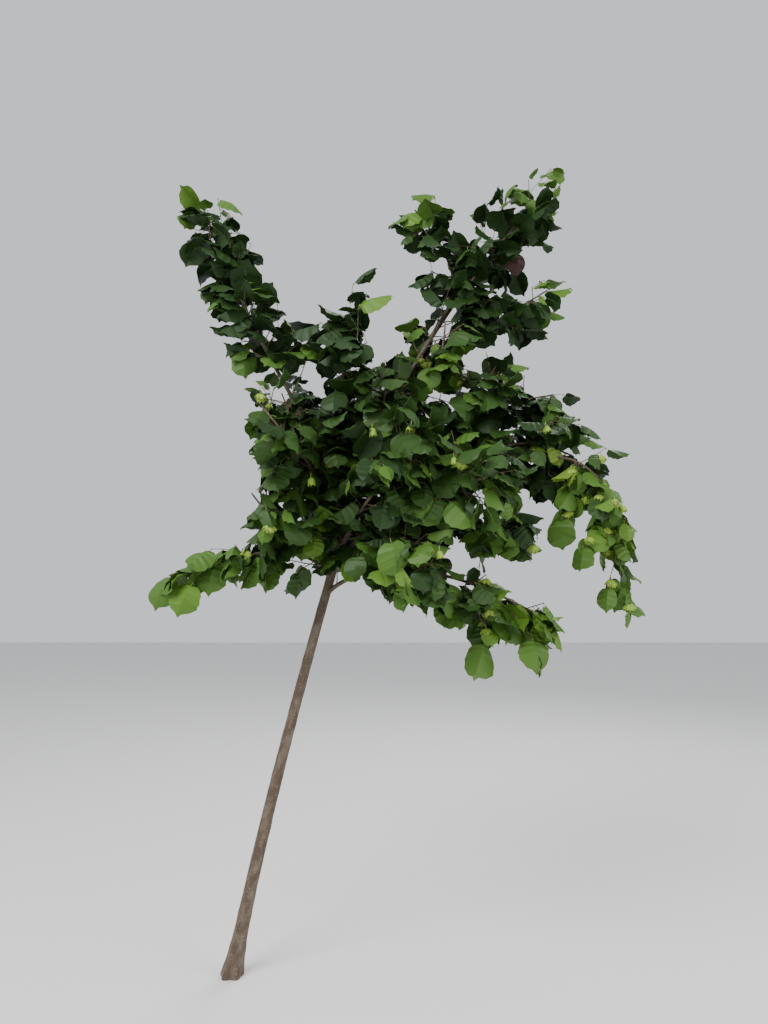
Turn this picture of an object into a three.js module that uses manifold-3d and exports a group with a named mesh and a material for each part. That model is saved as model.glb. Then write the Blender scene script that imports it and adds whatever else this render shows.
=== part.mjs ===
// A young hazel on a single leaning trunk, about 2.8 m tall, in leaf and in nut.
// Millimetres, +Z up. The origin is the middle of the trunk's flat cut at ground level. The tree leans to +X.
// Every limb and stem is one curve to a named tip. Twigs, leaves and nuts grow from them by a seeded rule.

import * as THREE from "three";
import { mergeVertices } from "three/addons/utils/BufferGeometryUtils.js";
import Module from "manifold-3d";

const wasm = await Module();
wasm.setup();

// Clearances
const GAP = 0.3; // between two pieces that meet
const KEEP_OFF = 1; // between a twig or leaf and anything that it doesn't grow from
const SHORTEST_EDGE = 0.15; // kept where twigs and leaves are fused

// Trunk
const TRUNK_BEND = [105, 0, 560];
const TRUNK_FORK = [352, 0, 1438];
const TRUNK_BASE_RADIUS = 23;
const TRUNK_FORK_RADIUS = 15;
const BELOW_CUT = 40; // how far under the ground the raw trunk starts, before the flat cut
const FLARE = 15; // how much wider the root flare is at the cut
const FLARE_HEIGHT = 75;
const FLARE_TOES = 5;
const FLARE_TOE_DEPTH = 0.3;
const TRUNK_SIDES = 15;
const TRUNK_STEPS = 9;
const TRUNK_STEP_EASE = 1.4; // above 1, the steps are closer together at the flare

// Boughs
const MAIN_BOUGH = 9; // a bough with at least this base radius has the main boughs' sides and steps
const MAIN_BOUGH_SIDES = 8;
const MAIN_BOUGH_STEPS = 6;
const BOUGH_SIDES = 5;
const BOUGH_STEPS = 4;
const BOUGH_LIFT = 0.5; // share of the parent's direction in the direction that a bough starts in
const START_REACH = 0.45; // how far that start carries, as a share of the way to the tip

// Stems and shoots of the masses
const STEM_SIDES = 4;
const STEM_STEPS = 4;
const STEM_BASE_SHARE = 0.95; // of the radius of the bough's tip
const STEM_TIP_RADIUS = 2.8;
const SHOOT_SIDES = 3;
const SHOOT_STEPS = 2;
const SHOOT_BASE_SHARE = 0.48; // of the stem's radius there
const SHOOT_TIP_RADIUS = 2.2;
const FIRST_SHOOT = 0.14; // as a share of the stem's length
const LAST_SHOOT = 0.92;
const SHOOT_SPREAD = THREE.MathUtils.degToRad(60);
const SHOOT_SHORT = 0.55; // how much of a leaf's length it ends short of its mass's reach
const SHOOT_LENGTHS = [0.9, 1.25];
const SHOOT_LIFT = 0.3; // how far a shoot turns up to the light
const SHOOT_DIP = 0.35; // share of the shoots that turn down instead
const GOLDEN_ANGLE = THREE.MathUtils.degToRad(137.5);

// Leaves
const LEAF_LENGTH = 130; // larger than life, because one stands for two or three
const LEAF_LENGTHS = [0.78, 1.08];
const LEAF_SPACING = 28;
const FEWEST_LEAVES = 2;
const FIRST_LEAF = 0.2; // as a share of the shoot's length
const LAST_LEAF = 0.97;
const LEAF_TURN = THREE.MathUtils.degToRad(155);
const LEAF_TURN_VARIETY = 0.6;
const LEAF_OUT = 0.85; // how much a leaf points out from its twig, against how much along it
const LEAF_ALONG = 0.45;
const TIP_LEAF_ALONG = 2;
const LEAF_LEVEL = 0.35; // how much of the way up or down stays where a leaf points out
const LEAF_DROOPS = [0.45, 1.35];
const LEAF_TILT = 1.1;
const LEAF_REACH = 0.9; // share of a leaf that has to lie in its mass's space
const LIGHT = [0.05, -0.1, 1];

// A leaf's points as shares of its length: across, ahead and up. The first is its root, deep in the twig.
const LEAF_RIM = [
  [0, -0.003, 0],
  [0.22, 0.2, -0.005],
  [0.42, 0.6, -0.035],
  [0, 1, -0.07],
  [-0.42, 0.6, -0.035],
  [-0.22, 0.2, -0.005],
];
const LEAF_CREST = [0, 0.18, 0.03];
const LEAF_UNDERSIDE = [0, 5, 1, 1, 5, 4, 1, 4, 2, 2, 4, 3];

// Nuts
const NUT_RADIUS = 17; // of a cluster in its husks
const NUT_DROP = 34; // of its middle below the twig
const NUT_PLACE = 0.8; // as a share of the twig's length
const NUT_BACK = 0.1; // how far back along the twig the next try is, for each radian of turn

// What doesn't fit is turned by these and tried again.
const TRY_TURNS = [0, 45, -45, 90, -90, 150].map((degrees) => THREE.MathUtils.degToRad(degrees));

// name, parent, share of the parent's length where it starts, tip, radius at the base and at the tip
const BOUGHS = [
  ["bough_centre", "trunk", 1, [742, 40, 2310], 13, 7],
  ["bough_left", "trunk", 0.975, [152, -120, 2010], 11, 6.5],
  ["bough_right", "trunk", 0.955, [930, 20, 1790], 10.5, 6],
  ["bough_low_left", "trunk", 0.93, [150, -120, 1405], 7, 5],
  ["bough_low_right", "trunk", 0.9, [735, -150, 1320], 8, 5],
  ["bough_back", "trunk", 0.94, [330, 250, 1640], 9, 6],
  ["bough_front", "trunk", 0.965, [470, -210, 1590], 8, 5.5],
  ["bough_left_mid", "bough_left", 0.3, [240, -200, 1720], 6, 5],
  ["bough_left_low", "bough_left", 0.14, [215, -130, 1500], 6, 5],
  ["bough_inner_left", "bough_left", 0.52, [350, -150, 1960], 6, 5],
  ["bough_back_left", "bough_left", 0.4, [200, 140, 1850], 7, 5],
  ["bough_middle", "bough_centre", 0.2, [470, -90, 1790], 6.5, 5],
  ["bough_centre_upper", "bough_centre", 0.5, [650, -70, 2010], 6.5, 5],
  ["bough_back_upper", "bough_centre", 0.42, [560, 190, 1990], 7, 5],
  ["bough_mid_right", "bough_centre", 0.66, [850, 110, 2250], 6.5, 5],
  ["bough_top_right", "bough_centre", 0.8, [850, 80, 2460], 6.5, 5],
  ["bough_right_inner", "bough_centre", 0.34, [720, -40, 1890], 6.5, 5],
  ["bough_right_upper", "bough_right", 0.6, [930, 90, 1920], 6.5, 5],
  ["bough_droop", "bough_right", 0.82, [1110, -70, 1740], 6, 4.5],
  ["bough_front_right", "bough_right", 0.38, [690, -220, 1600], 6.5, 5],
  ["bough_back_right", "bough_right", 0.48, [760, 230, 1700], 7, 5],
  ["bough_right_under", "bough_right", 0.32, [720, -60, 1520], 6.5, 5],
  ["bough_front_low", "bough_low_right", 0.42, [530, -250, 1390], 5.5, 4.5],
  ["bough_low_hang", "bough_low_right", 0.78, [790, -180, 1230], 5, 4],
  ["bough_back_low", "bough_back", 0.45, [520, 230, 1470], 6, 4.5],
];

// name, bough, tip of the stem, reach round the stem, shoots, nut clusters, seed
const MASSES = [
  ["leaves_top_centre", "bough_centre", [617, -62, 2650], 190, 5, 0, 3],
  ["leaves_left_leader", "bough_left", [-120, -182, 2600], 195, 10, 0, 5],
  ["leaves_right", "bough_right", [1200, 40, 1760], 215, 5, 1, 8],
  ["leaves_low_left", "bough_low_left", [-200, -180, 1325], 130, 4, 0, 13],
  ["leaves_low_right", "bough_low_right", [1052, -212, 1170], 155, 4, 2, 21],
  ["leaves_back", "bough_back", [345, 435, 1850], 220, 6, 1, 34],
  ["leaves_front", "bough_front", [593, -437, 1720], 205, 5, 1, 4],
  ["leaves_left_mid", "bough_left_mid", [90, -250, 1900], 190, 5, 1, 7],
  ["leaves_left_low", "bough_left_low", [70, -200, 1600], 205, 6, 1, 11],
  ["leaves_inner_left", "bough_inner_left", [440, -190, 2225], 170, 4, 0, 19],
  ["leaves_back_left", "bough_back_left", [100, 270, 2060], 190, 5, 0, 29],
  ["leaves_middle", "bough_middle", [523, -167, 1990], 190, 4, 1, 47],
  ["leaves_centre_upper", "bough_centre_upper", [720, -130, 2210], 175, 5, 1, 6],
  ["leaves_back_upper", "bough_back_upper", [612, 288, 2190], 190, 5, 0, 10],
  ["leaves_mid_right", "bough_mid_right", [1140, 140, 2430], 180, 4, 0, 16],
  ["leaves_top_right", "bough_top_right", [1127, 108, 2790], 195, 5, 0, 26],
  ["leaves_right_inner", "bough_right_inner", [900, -120, 2060], 175, 5, 0, 51],
  ["leaves_right_upper", "bough_right_upper", [1150, 120, 2010], 180, 4, 1, 42],
  ["leaves_droop", "bough_droop", [1343, 0, 1325], 150, 5, 4, 68],
  ["leaves_front_right", "bough_front_right", [854, -374, 1640], 200, 5, 1, 9],
  ["leaves_back_right", "bough_back_right", [990, 400, 1870], 210, 6, 1, 15],
  ["leaves_right_under", "bough_right_under", [970, -110, 1440], 205, 5, 1, 57],
  ["leaves_front_low", "bough_front_low", [640, -340, 1310], 185, 5, 0, 24],
  ["leaves_low_hang", "bough_low_hang", [859, -204, 1100], 105, 3, 2, 39],
  ["leaves_back_low", "bough_back_low", [744, 326, 1400], 175, 5, 1, 63],
];

const COLOURS = { bark: 0x5b4a3a, leaf: 0x3f6a22 };

const vector = (place) => new THREE.Vector3(...place);
const between = ([least, most], draw) => THREE.MathUtils.lerp(least, most, draw());

// Draws from 0 to 1, the same every time for one seed.
function seededDraws(seed) {
  let state = seed * 7919;
  return () => {
    state = (state * 48271) % 2147483647;
    return state / 2147483647;
  };
}

// A limb, stem or shoot: a curve, with two directions across it at any place.
class Branch {
  constructor(start, control, tip, baseRadius, tipRadius) {
    this.curve = new THREE.QuadraticBezierCurve3(start, control, tip);
    this.baseRadius = baseRadius;
    this.tipRadius = tipRadius;
    this.length = this.curve.getLength();
    const first = control.clone().sub(start).normalize();
    const whole = tip.clone().sub(start).normalize();
    this.across = first.clone().cross(whole);
    if (this.across.length() < 0.01) this.across = first.cross(new THREE.Vector3(0.3, 1, 0.2));
    this.across.normalize();
  }
  point(along) {
    return this.curve.getPoint(along);
  }
  direction(along) {
    const { v0, v1, v2 } = this.curve;
    const first = v1.clone().sub(v0).multiplyScalar(1 - along);
    return first.addScaledVector(v2.clone().sub(v1), along).normalize();
  }
  sideways(along, roll) {
    const second = this.across.clone().cross(this.direction(along));
    return second.multiplyScalar(Math.cos(roll)).addScaledVector(this.across, Math.sin(roll));
  }
  radius(along) {
    return THREE.MathUtils.lerp(this.baseRadius, this.tipRadius, along);
  }
}

// A branch that leaves its start in one direction and bends to its tip.
function bendTo(start, startDirection, tip, baseRadius, tipRadius) {
  const carry = start.distanceTo(tip) * START_REACH;
  const control = start.clone().addScaledVector(startDirection, carry);
  return new Branch(start, control, tip, baseRadius, tipRadius);
}

function trunkRadius(height, along, roll) {
  const flare = FLARE * Math.exp(-Math.max(height, 0) / FLARE_HEIGHT);
  const toes = 1 + FLARE_TOE_DEPTH * Math.cos(FLARE_TOES * roll);
  return THREE.MathUtils.lerp(TRUNK_BASE_RADIUS, TRUNK_FORK_RADIUS, along) + flare * toes;
}

function makeTrunk() {
  const bend = vector(TRUNK_BEND);
  const start = bend.clone().multiplyScalar(-BELOW_CUT / bend.z);
  const trunk = new Branch(start, bend, vector(TRUNK_FORK), TRUNK_BASE_RADIUS, TRUNK_FORK_RADIUS);
  trunk.isTrunk = true;
  return trunk;
}

// A closed solid round a branch, grown all over by extra.
function branchSolid(branch, sides, steps, extra = 0) {
  const shape = new THREE.CylinderGeometry(1, 1, 1, sides, steps);
  const places = shape.getAttribute("position");
  for (let i = 0; i < places.count; i++) {
    const rise = places.getY(i) + 0.5;
    const along = branch.isTrunk ? rise ** TRUNK_STEP_EASE : rise;
    const off = Math.hypot(places.getX(i), places.getZ(i));
    const roll = Math.atan2(places.getZ(i), places.getX(i));
    const middle = branch.point(along);
    if (rise < 0.001) middle.addScaledVector(branch.direction(0), -extra);
    if (rise > 0.999) middle.addScaledVector(branch.direction(1), extra);
    const radius = branch.isTrunk ? trunkRadius(middle.z, along, roll) : branch.radius(along);
    middle.addScaledVector(branch.sideways(along, -roll), off * (radius + extra));
    places.setXYZ(i, middle.x, middle.y, middle.z);
  }
  return toSolid(shape);
}

function toSolid(geometry) {
  geometry.deleteAttribute("normal");
  geometry.deleteAttribute("uv");
  const merged = mergeVertices(geometry, 1e-4);
  const mesh = new wasm.Mesh({
    numProp: 3,
    vertProperties: new Float32Array(merged.getAttribute("position").array),
    triVerts: new Uint32Array(merged.index.array),
  });
  return new wasm.Manifold(mesh);
}

function largest(solid) {
  const parts = solid.decompose();
  return parts.reduce((best, part) => (part.volume() > best.volume() ? part : best));
}

// Joins solids into one, takes out edges too short to matter and drops loose scraps.
function fuse(solids) {
  return largest(wasm.Manifold.union(solids).asOriginal().simplify(SHORTEST_EDGE));
}

function toGeometry(solid) {
  const mesh = solid.getMesh();
  const places = new Float32Array(mesh.numVert * 3);
  for (let i = 0; i < mesh.numVert; i++) {
    places.set(mesh.vertProperties.subarray(i * mesh.numProp, i * mesh.numProp + 3), i * 3);
  }
  const geometry = new THREE.BufferGeometry();
  geometry.setAttribute("position", new THREE.BufferAttribute(places, 3));
  geometry.setIndex(new THREE.BufferAttribute(mesh.triVerts, 1));
  geometry.computeVertexNormals();
  return geometry;
}

// A leaf: a thin blade with a crest along its middle and a hanging tip.
function leafSolid(root, forward, normal, length) {
  const side = forward.clone().cross(normal);
  const corners = [...LEAF_RIM, LEAF_CREST].flatMap(([across, ahead, up]) => {
    const place = root.clone().addScaledVector(side, across * length);
    place.addScaledVector(forward, ahead * length).addScaledVector(normal, up * length);
    return place.toArray();
  });
  const upperside = LEAF_RIM.flatMap((_, i) => [i, (i + 1) % LEAF_RIM.length, LEAF_RIM.length]);
  const shape = new THREE.BufferGeometry();
  shape.setAttribute("position", new THREE.Float32BufferAttribute(corners, 3));
  shape.setIndex([...upperside, ...LEAF_UNDERSIDE]);
  return toSolid(shape);
}

// Where a leaf points and faces: out from its twig with its tip hanging, and turned to the light.
function leafPose({ twig, along, droop, tilt, isLast }, roll) {
  const out = twig.sideways(along, roll);
  out.z *= LEAF_LEVEL;
  const alongShare = isLast ? TIP_LEAF_ALONG : LEAF_ALONG;
  const forward = out.multiplyScalar(LEAF_OUT).addScaledVector(twig.direction(along), alongShare);
  forward.normalize();
  forward.z -= droop;
  forward.normalize();
  const normal = vector(LIGHT);
  normal.addScaledVector(forward, -normal.dot(forward)).normalize();
  normal.applyAxisAngle(forward, tilt);
  return { forward, normal };
}

// How full a mass is along its stem: fullest past the middle, least at the tip.
const fullness = (along) => 0.62 + 0.38 * Math.sin(Math.PI * (0.12 + 0.8 * along));

// How far a place is from a mass's stem, as a share of the mass's reach there.
function shareOfReach(mass, place) {
  const samples = 12;
  let least = Infinity;
  for (let i = 0; i <= samples; i++) {
    const along = i / samples;
    const share = mass.stem.point(along).distanceTo(place) / (mass.reach * fullness(along));
    least = Math.min(least, share);
  }
  return least;
}

// A mass's own space: within its reach, and nearer to its stem than to any other.
function inSpace(mass, place) {
  const share = shareOfReach(mass, place);
  return share < 1 && masses.every((other) => other === mass || shareOfReach(other, place) > share);
}

// Where the shoots leave a mass's stem, and how long and how lifted each is.
function shootPlaces(mass) {
  return Array.from({ length: mass.shootCount }, (_, i) => {
    const share = (i + 0.6 * mass.draw()) / mass.shootCount;
    const along = THREE.MathUtils.lerp(FIRST_SHOOT, LAST_SHOOT, share);
    const roll = mass.seed + i * GOLDEN_ANGLE + 0.5 * mass.draw();
    const lengthShare = between(SHOOT_LENGTHS, mass.draw);
    const lift = SHOOT_LIFT * (mass.draw() - SHOOT_DIP);
    return { along, roll, lengthShare, lift };
  });
}

function growShoot(mass, { along, lengthShare, lift }, roll) {
  const heading = mass.stem.direction(along).multiplyScalar(Math.cos(SHOOT_SPREAD));
  heading.addScaledVector(mass.stem.sideways(along, roll), Math.sin(SHOOT_SPREAD));
  const length = (mass.reach * fullness(along) - SHOOT_SHORT * LEAF_LENGTH) * lengthShare;
  const start = mass.stem.point(along);
  const tip = start.clone().addScaledVector(heading, length);
  tip.z += length * lift;
  const baseRadius = Math.max(SHOOT_BASE_SHARE * mass.stem.radius(along), SHOOT_TIP_RADIUS);
  return bendTo(start, heading, tip, baseRadius, SHOOT_TIP_RADIUS);
}

// The places of leaves along a twig, alternately on its two sides, with one at its tip.
function leafPlaces(twig, firstRoll, firstAlong, draw) {
  const count = Math.max(FEWEST_LEAVES, Math.round((twig.length * (1 - firstAlong)) / LEAF_SPACING));
  return Array.from({ length: count }, (_, i) => {
    const isLast = i === count - 1;
    const along = Math.min(firstAlong + ((1 - firstAlong) * (i + 0.8)) / count, LAST_LEAF);
    const roll = firstRoll + i * LEAF_TURN + LEAF_TURN_VARIETY * (draw() - 0.5);
    const droop = between(LEAF_DROOPS, draw);
    const tilt = LEAF_TILT * (draw() - 0.5);
    const length = LEAF_LENGTH * between(LEAF_LENGTHS, draw);
    return { twig, isLast, along, roll, droop, tilt, length };
  });
}

// A nut cluster in its husks, drawn out at the top to a stalk that ends inside the twig.
function nutSolid(root) {
  const middle = root.z - NUT_DROP;
  const husk = new THREE.SphereGeometry(NUT_RADIUS, 5, 3);
  husk.rotateX(Math.PI / 2);
  husk.translate(root.x, root.y, middle);
  const places = husk.getAttribute("position");
  for (let i = 0; i < places.count; i++) {
    if (places.getZ(i) > middle + 0.9 * NUT_RADIUS) places.setXYZ(i, root.x, root.y, root.z);
  }
  return toSolid(husk);
}

// The limbs: each bough is cut clear of the limbs before it, and the one at the trunk's end starts past it.
const trunk = makeTrunk();
const trunkWhole = branchSolid(trunk, TRUNK_SIDES, TRUNK_STEPS);
const limbs = new Map([["trunk", trunk]]);
const limbSolids = new Map([["trunk", trunkWhole.trimByPlane([0, 0, 1], 0)]]);
const limbShadows = [branchSolid(trunk, TRUNK_SIDES, TRUNK_STEPS, GAP)];

for (const [name, parentName, at, tip, baseRadius, tipRadius] of BOUGHS) {
  const parent = limbs.get(parentName);
  const parentDirection = parent.direction(at);
  const start = parent.point(at);
  if (at === 1) start.addScaledVector(parentDirection, GAP);
  const heading = vector(tip).sub(start).normalize();
  const startDirection = heading.lerp(parentDirection, at === 1 ? 1 : BOUGH_LIFT).normalize();
  const bough = bendTo(start, startDirection, vector(tip), baseRadius, tipRadius);
  const isMain = baseRadius >= MAIN_BOUGH;
  const sides = isMain ? MAIN_BOUGH_SIDES : BOUGH_SIDES;
  const steps = isMain ? MAIN_BOUGH_STEPS : BOUGH_STEPS;
  let solid = branchSolid(bough, sides, steps);
  if (at < 1) solid = largest(limbShadows.reduce((left, shadow) => left.subtract(shadow), solid));
  limbs.set(name, bough);
  limbSolids.set(name, solid);
  limbShadows.push(branchSolid(bough, sides, steps, GAP));
}

// The masses: each stem goes on from its bough's tip.
const masses = MASSES.map(([name, boughName, tip, reach, shootCount, nutCount, seed]) => {
  const bough = limbs.get(boughName);
  const direction = bough.direction(1);
  const start = bough.point(1).addScaledVector(direction, GAP);
  const stem = bendTo(start, direction, vector(tip), bough.tipRadius * STEM_BASE_SHARE, STEM_TIP_RADIUS);
  return { name, stem, reach, shootCount, nutCount, seed, pieces: [], twigs: [], draw: seededDraws(seed) };
});

// Everything placed so far, with its box, so that a new piece can be kept clear of what isn't its own.
const placed = [];
function place(solid, mass, branch) {
  placed.push({ solid, branch, box: solid.boundingBox() });
  if (mass) mass.pieces.push(solid);
}

// True where a solid keeps off all that is placed, but for the branch that it grows from.
function isClear(solid, ownBranch) {
  const box = solid.boundingBox();
  const apart = (other) =>
    [0, 1, 2].some((i) => box.min[i] > other.max[i] + KEEP_OFF || other.min[i] > box.max[i] + KEEP_OFF);
  return placed.every(
    (other) =>
      other.branch === ownBranch || apart(other.box) || solid.minGap(other.solid, KEEP_OFF) >= KEEP_OFF,
  );
}

// Grows one candidate from each mass in turn, so that no mass crowds out its neighbour.
// Each is turned on a few times until it keeps to its mass's space and clear of the rest, or is skipped.
function growInTurn(candidatesOf, grow) {
  const lists = masses.map((mass) => candidatesOf(mass));
  const longest = Math.max(...lists.map((list) => list.length));
  for (let i = 0; i < longest; i++) {
    masses.forEach((mass, m) => {
      if (i < lists[m].length) TRY_TURNS.some((turn) => grow(mass, lists[m][i], turn));
    });
  }
}

for (const solid of limbSolids.values()) place(solid);
for (const mass of masses) place(branchSolid(mass.stem, STEM_SIDES, STEM_STEPS), mass, mass.stem);

growInTurn(shootPlaces, (mass, candidate, turn) => {
  const shoot = growShoot(mass, candidate, candidate.roll + turn);
  const solid = branchSolid(shoot, SHOOT_SIDES, SHOOT_STEPS);
  const fits = inSpace(mass, shoot.point(1)) && isClear(solid, mass.stem);
  if (fits) {
    place(solid, mass, shoot);
    mass.twigs.push(shoot);
  }
  return fits;
});

growInTurn(
  (mass) => mass.twigs.slice(0, mass.nutCount),
  (mass, twig, turn) => {
    const solid = nutSolid(twig.point(NUT_PLACE - NUT_BACK * Math.abs(turn)));
    const fits = isClear(solid, twig);
    if (fits) place(solid, mass);
    return fits;
  },
);

growInTurn(
  (mass) => [
    ...mass.twigs.flatMap((twig, i) => leafPlaces(twig, i, FIRST_LEAF, mass.draw)),
    ...leafPlaces(mass.stem, mass.seed, FIRST_SHOOT, mass.draw),
  ],
  (mass, candidate, turn) => {
    const { twig, along, roll, length } = candidate;
    const root = twig.point(along);
    const { forward, normal } = leafPose(candidate, roll + turn);
    if (!inSpace(mass, root.clone().addScaledVector(forward, length * LEAF_REACH))) return false;
    const solid = leafSolid(root, forward, normal, length);
    const fits = isClear(solid, twig);
    if (fits) place(solid, mass);
    return fits;
  },
);

const bark = new THREE.MeshStandardMaterial({ color: COLOURS.bark, roughness: 0.85, metalness: 0 });
const leaf = new THREE.MeshStandardMaterial({ color: COLOURS.leaf, roughness: 0.55, metalness: 0 });
const tree = new THREE.Group();

function addNode(name, solid, material) {
  const mesh = new THREE.Mesh(toGeometry(solid), material);
  mesh.name = name;
  tree.add(mesh);
}

for (const [name, solid] of limbSolids) addNode(name, solid, bark);
for (const mass of masses) addNode(mass.name, fuse(mass.pieces), leaf);

export default tree;
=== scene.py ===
"""A young hazel in leaf and in nut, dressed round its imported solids.

The trunk and boughs are straight limbs, raised ring by ring, given their relief and bent to their curves.
Twigs, leaves and nuts grow on from them by the rule that the solids follow, carried to finer twigs.
"""

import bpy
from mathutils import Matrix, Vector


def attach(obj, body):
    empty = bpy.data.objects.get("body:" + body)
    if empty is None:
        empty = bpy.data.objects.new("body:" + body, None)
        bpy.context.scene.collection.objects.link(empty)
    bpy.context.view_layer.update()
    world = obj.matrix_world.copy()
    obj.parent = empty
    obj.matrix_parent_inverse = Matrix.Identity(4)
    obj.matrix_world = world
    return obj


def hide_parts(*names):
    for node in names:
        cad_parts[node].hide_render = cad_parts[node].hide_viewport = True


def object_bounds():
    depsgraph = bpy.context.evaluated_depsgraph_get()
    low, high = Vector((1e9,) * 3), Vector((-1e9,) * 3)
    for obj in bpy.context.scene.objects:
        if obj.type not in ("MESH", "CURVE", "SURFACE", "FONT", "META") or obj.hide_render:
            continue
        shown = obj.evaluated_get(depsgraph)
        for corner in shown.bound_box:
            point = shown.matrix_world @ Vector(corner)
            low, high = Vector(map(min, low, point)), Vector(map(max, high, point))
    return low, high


bl_info = {
    "name": "Young hazel",
    "version": (1, 0, 0),
    "blender": (4, 5, 0),
    "location": "3D View > Sidebar > Hazel",
    "description": "Builds the bark, twigs, leaves and nuts of a young hazel",
    "category": "Add Mesh",
}

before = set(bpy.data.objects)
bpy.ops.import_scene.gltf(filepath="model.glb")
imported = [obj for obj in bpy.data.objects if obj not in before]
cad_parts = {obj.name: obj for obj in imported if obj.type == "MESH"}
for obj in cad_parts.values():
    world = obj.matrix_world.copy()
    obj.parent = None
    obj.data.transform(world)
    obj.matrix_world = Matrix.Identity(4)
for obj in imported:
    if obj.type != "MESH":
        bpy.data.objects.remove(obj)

import functools
import math
from collections import defaultdict, namedtuple

import bpy
import numpy as np
from bpy.props import FloatProperty, FloatVectorProperty, PointerProperty
from mathutils import Vector, noise

CAD_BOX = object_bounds()

MM = 0.001

# Trunk: places and radii in millimetres, as in the tables below
TRUNK_BEND = (105, 0, 560)
TRUNK_FORK = (352, 0, 1438)
TRUNK_RADII = (23, 15)
BELOW_CUT = 40  # how far below its cut the trunk's curve starts
FLARE = 15 * MM
FLARE_HEIGHT = 75 * MM
FLARE_TOES = 5
FLARE_TOE_DEPTH = 0.3

# Where branches bend and how they taper
BOUGH_LIFT = 0.5
START_REACH = 0.45
STEM_GAP = 0.3 * MM
STEM_BASE_SHARE = 0.95
STEM_TIP_RADIUS = 2.8 * MM
STRAIGHT_WITHIN = 0.01  # below this a branch bends too little to tell which way
ASIDE = (0.3, 1, 0.2)  # the direction that stands in for its bend

# How full a mass is along its stem, as shares of its reach: a part of a half wave over the least
FULLNESS_LEAST = 0.62
FULLNESS_RISE = 0.38
FULLNESS_FROM = 0.12
FULLNESS_SPAN = 0.8

# Shoots of the masses
SHOOT_BASE_SHARE = 0.48
SHOOT_TIP_RADIUS = 1.6 * MM
SHOOT_LEAF_LENGTH = 130 * MM  # of the solids' leaves, which the shoots leave room for
SHOOT_SHORT = 0.55
SHOOT_SPREAD = math.radians(60)
SHOOT_LENGTHS = (0.9, 1.25)
SHOOT_LIFT = 0.3  # how far a shoot turns up to the light
SHOOT_DIP = 0.35  # share of the shoots that turn down instead
FIRST_SHOOT = 0.14
LAST_SHOOT = 0.92
GOLDEN_ANGLE = math.radians(137.5)
PLACE_VARIETY = 0.6  # how far a place strays, as a share of the step to the next
ROLL_VARIETY = 0.5  # how far a turn strays, in radians

# Finer twigs, which only the looks have
FINE_SPACING = 40 * MM
FINE_LENGTHS = (58 * MM, 118 * MM)
FINE_SPREAD = math.radians(52)
FINE_ROLL = 1.3  # how far the finer twigs' turns are off the shoots', in radians
FINE_FIRST = 0.22
STEM_TWIG_FIRST = 0.04
FINE_LAST = 0.92
FINE_BASE_SHARE = 0.45
FINE_RADII = (2.4 * MM, 1.0 * MM)
BOUGH_TWIG_SPACING = 26 * MM
BOUGH_TWIG_LENGTHS = (80 * MM, 180 * MM)
BOUGH_TWIG_FIRST = 0.1

# Twigs that the photograph shows
SHOWN_TWIG_ALONG = 0.5  # what its stem's direction counts, against its tip's, where a twig starts

# Leaves
LEAF_LENGTHS = (0.72, 1.12)
FEWEST_LEAVES = 2
FIRST_LEAF = 0.2
LAST_LEAF = 0.97
LEAF_PLACE = 0.8  # where each leaf stands on its own share of the twig
LEAF_TURN = math.radians(155)
LEAF_TURN_VARIETY = 0.6
LEAF_OUT = 0.85
LEAF_ALONG = 0.45
TIP_LEAF_ALONG = 2
LEAF_LEVEL = 0.35
LEAF_TILT = 1.3
LIGHT_FROM = (0.05, -0.1, 1)

# Nut clusters
NUT_PLACE = 0.8
NUT_BACK = 0.1  # how much nearer to the twig's base a cluster hangs for each radian it was turned
NUT_DROP = 34 * MM
FRONT_WEIGHT = 60  # pixels of the photograph that a metre nearer to the camera makes up for
NUTS_IN_CLUSTER = (1.5, 4.4)

# Room that a new piece keeps to what is there already
TWIG_ROOM = 1.0 * MM
LEAF_ROOM = 3.2 * MM
NUT_ROOM = 9 * MM
BOX_ROOM = (45 * MM, 30 * MM, 60 * MM)
TAKEN_STEP = 12 * MM  # between the places that a branch takes
TRIED_STEP = 15 * MM  # between the places where a new twig is tried
FEWEST_STEPS = 2
SHORTEST_END = 0.3  # the least share of its length that a twig grows. One that bears nothing isn't made.
TURN_SHRINK = 0.12  # how much smaller a leaf is that was turned by a radian to fit
TRY_TURNS = tuple(math.radians(degrees) for degrees in (0, 45, -45, 90, -90, 150))

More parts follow.
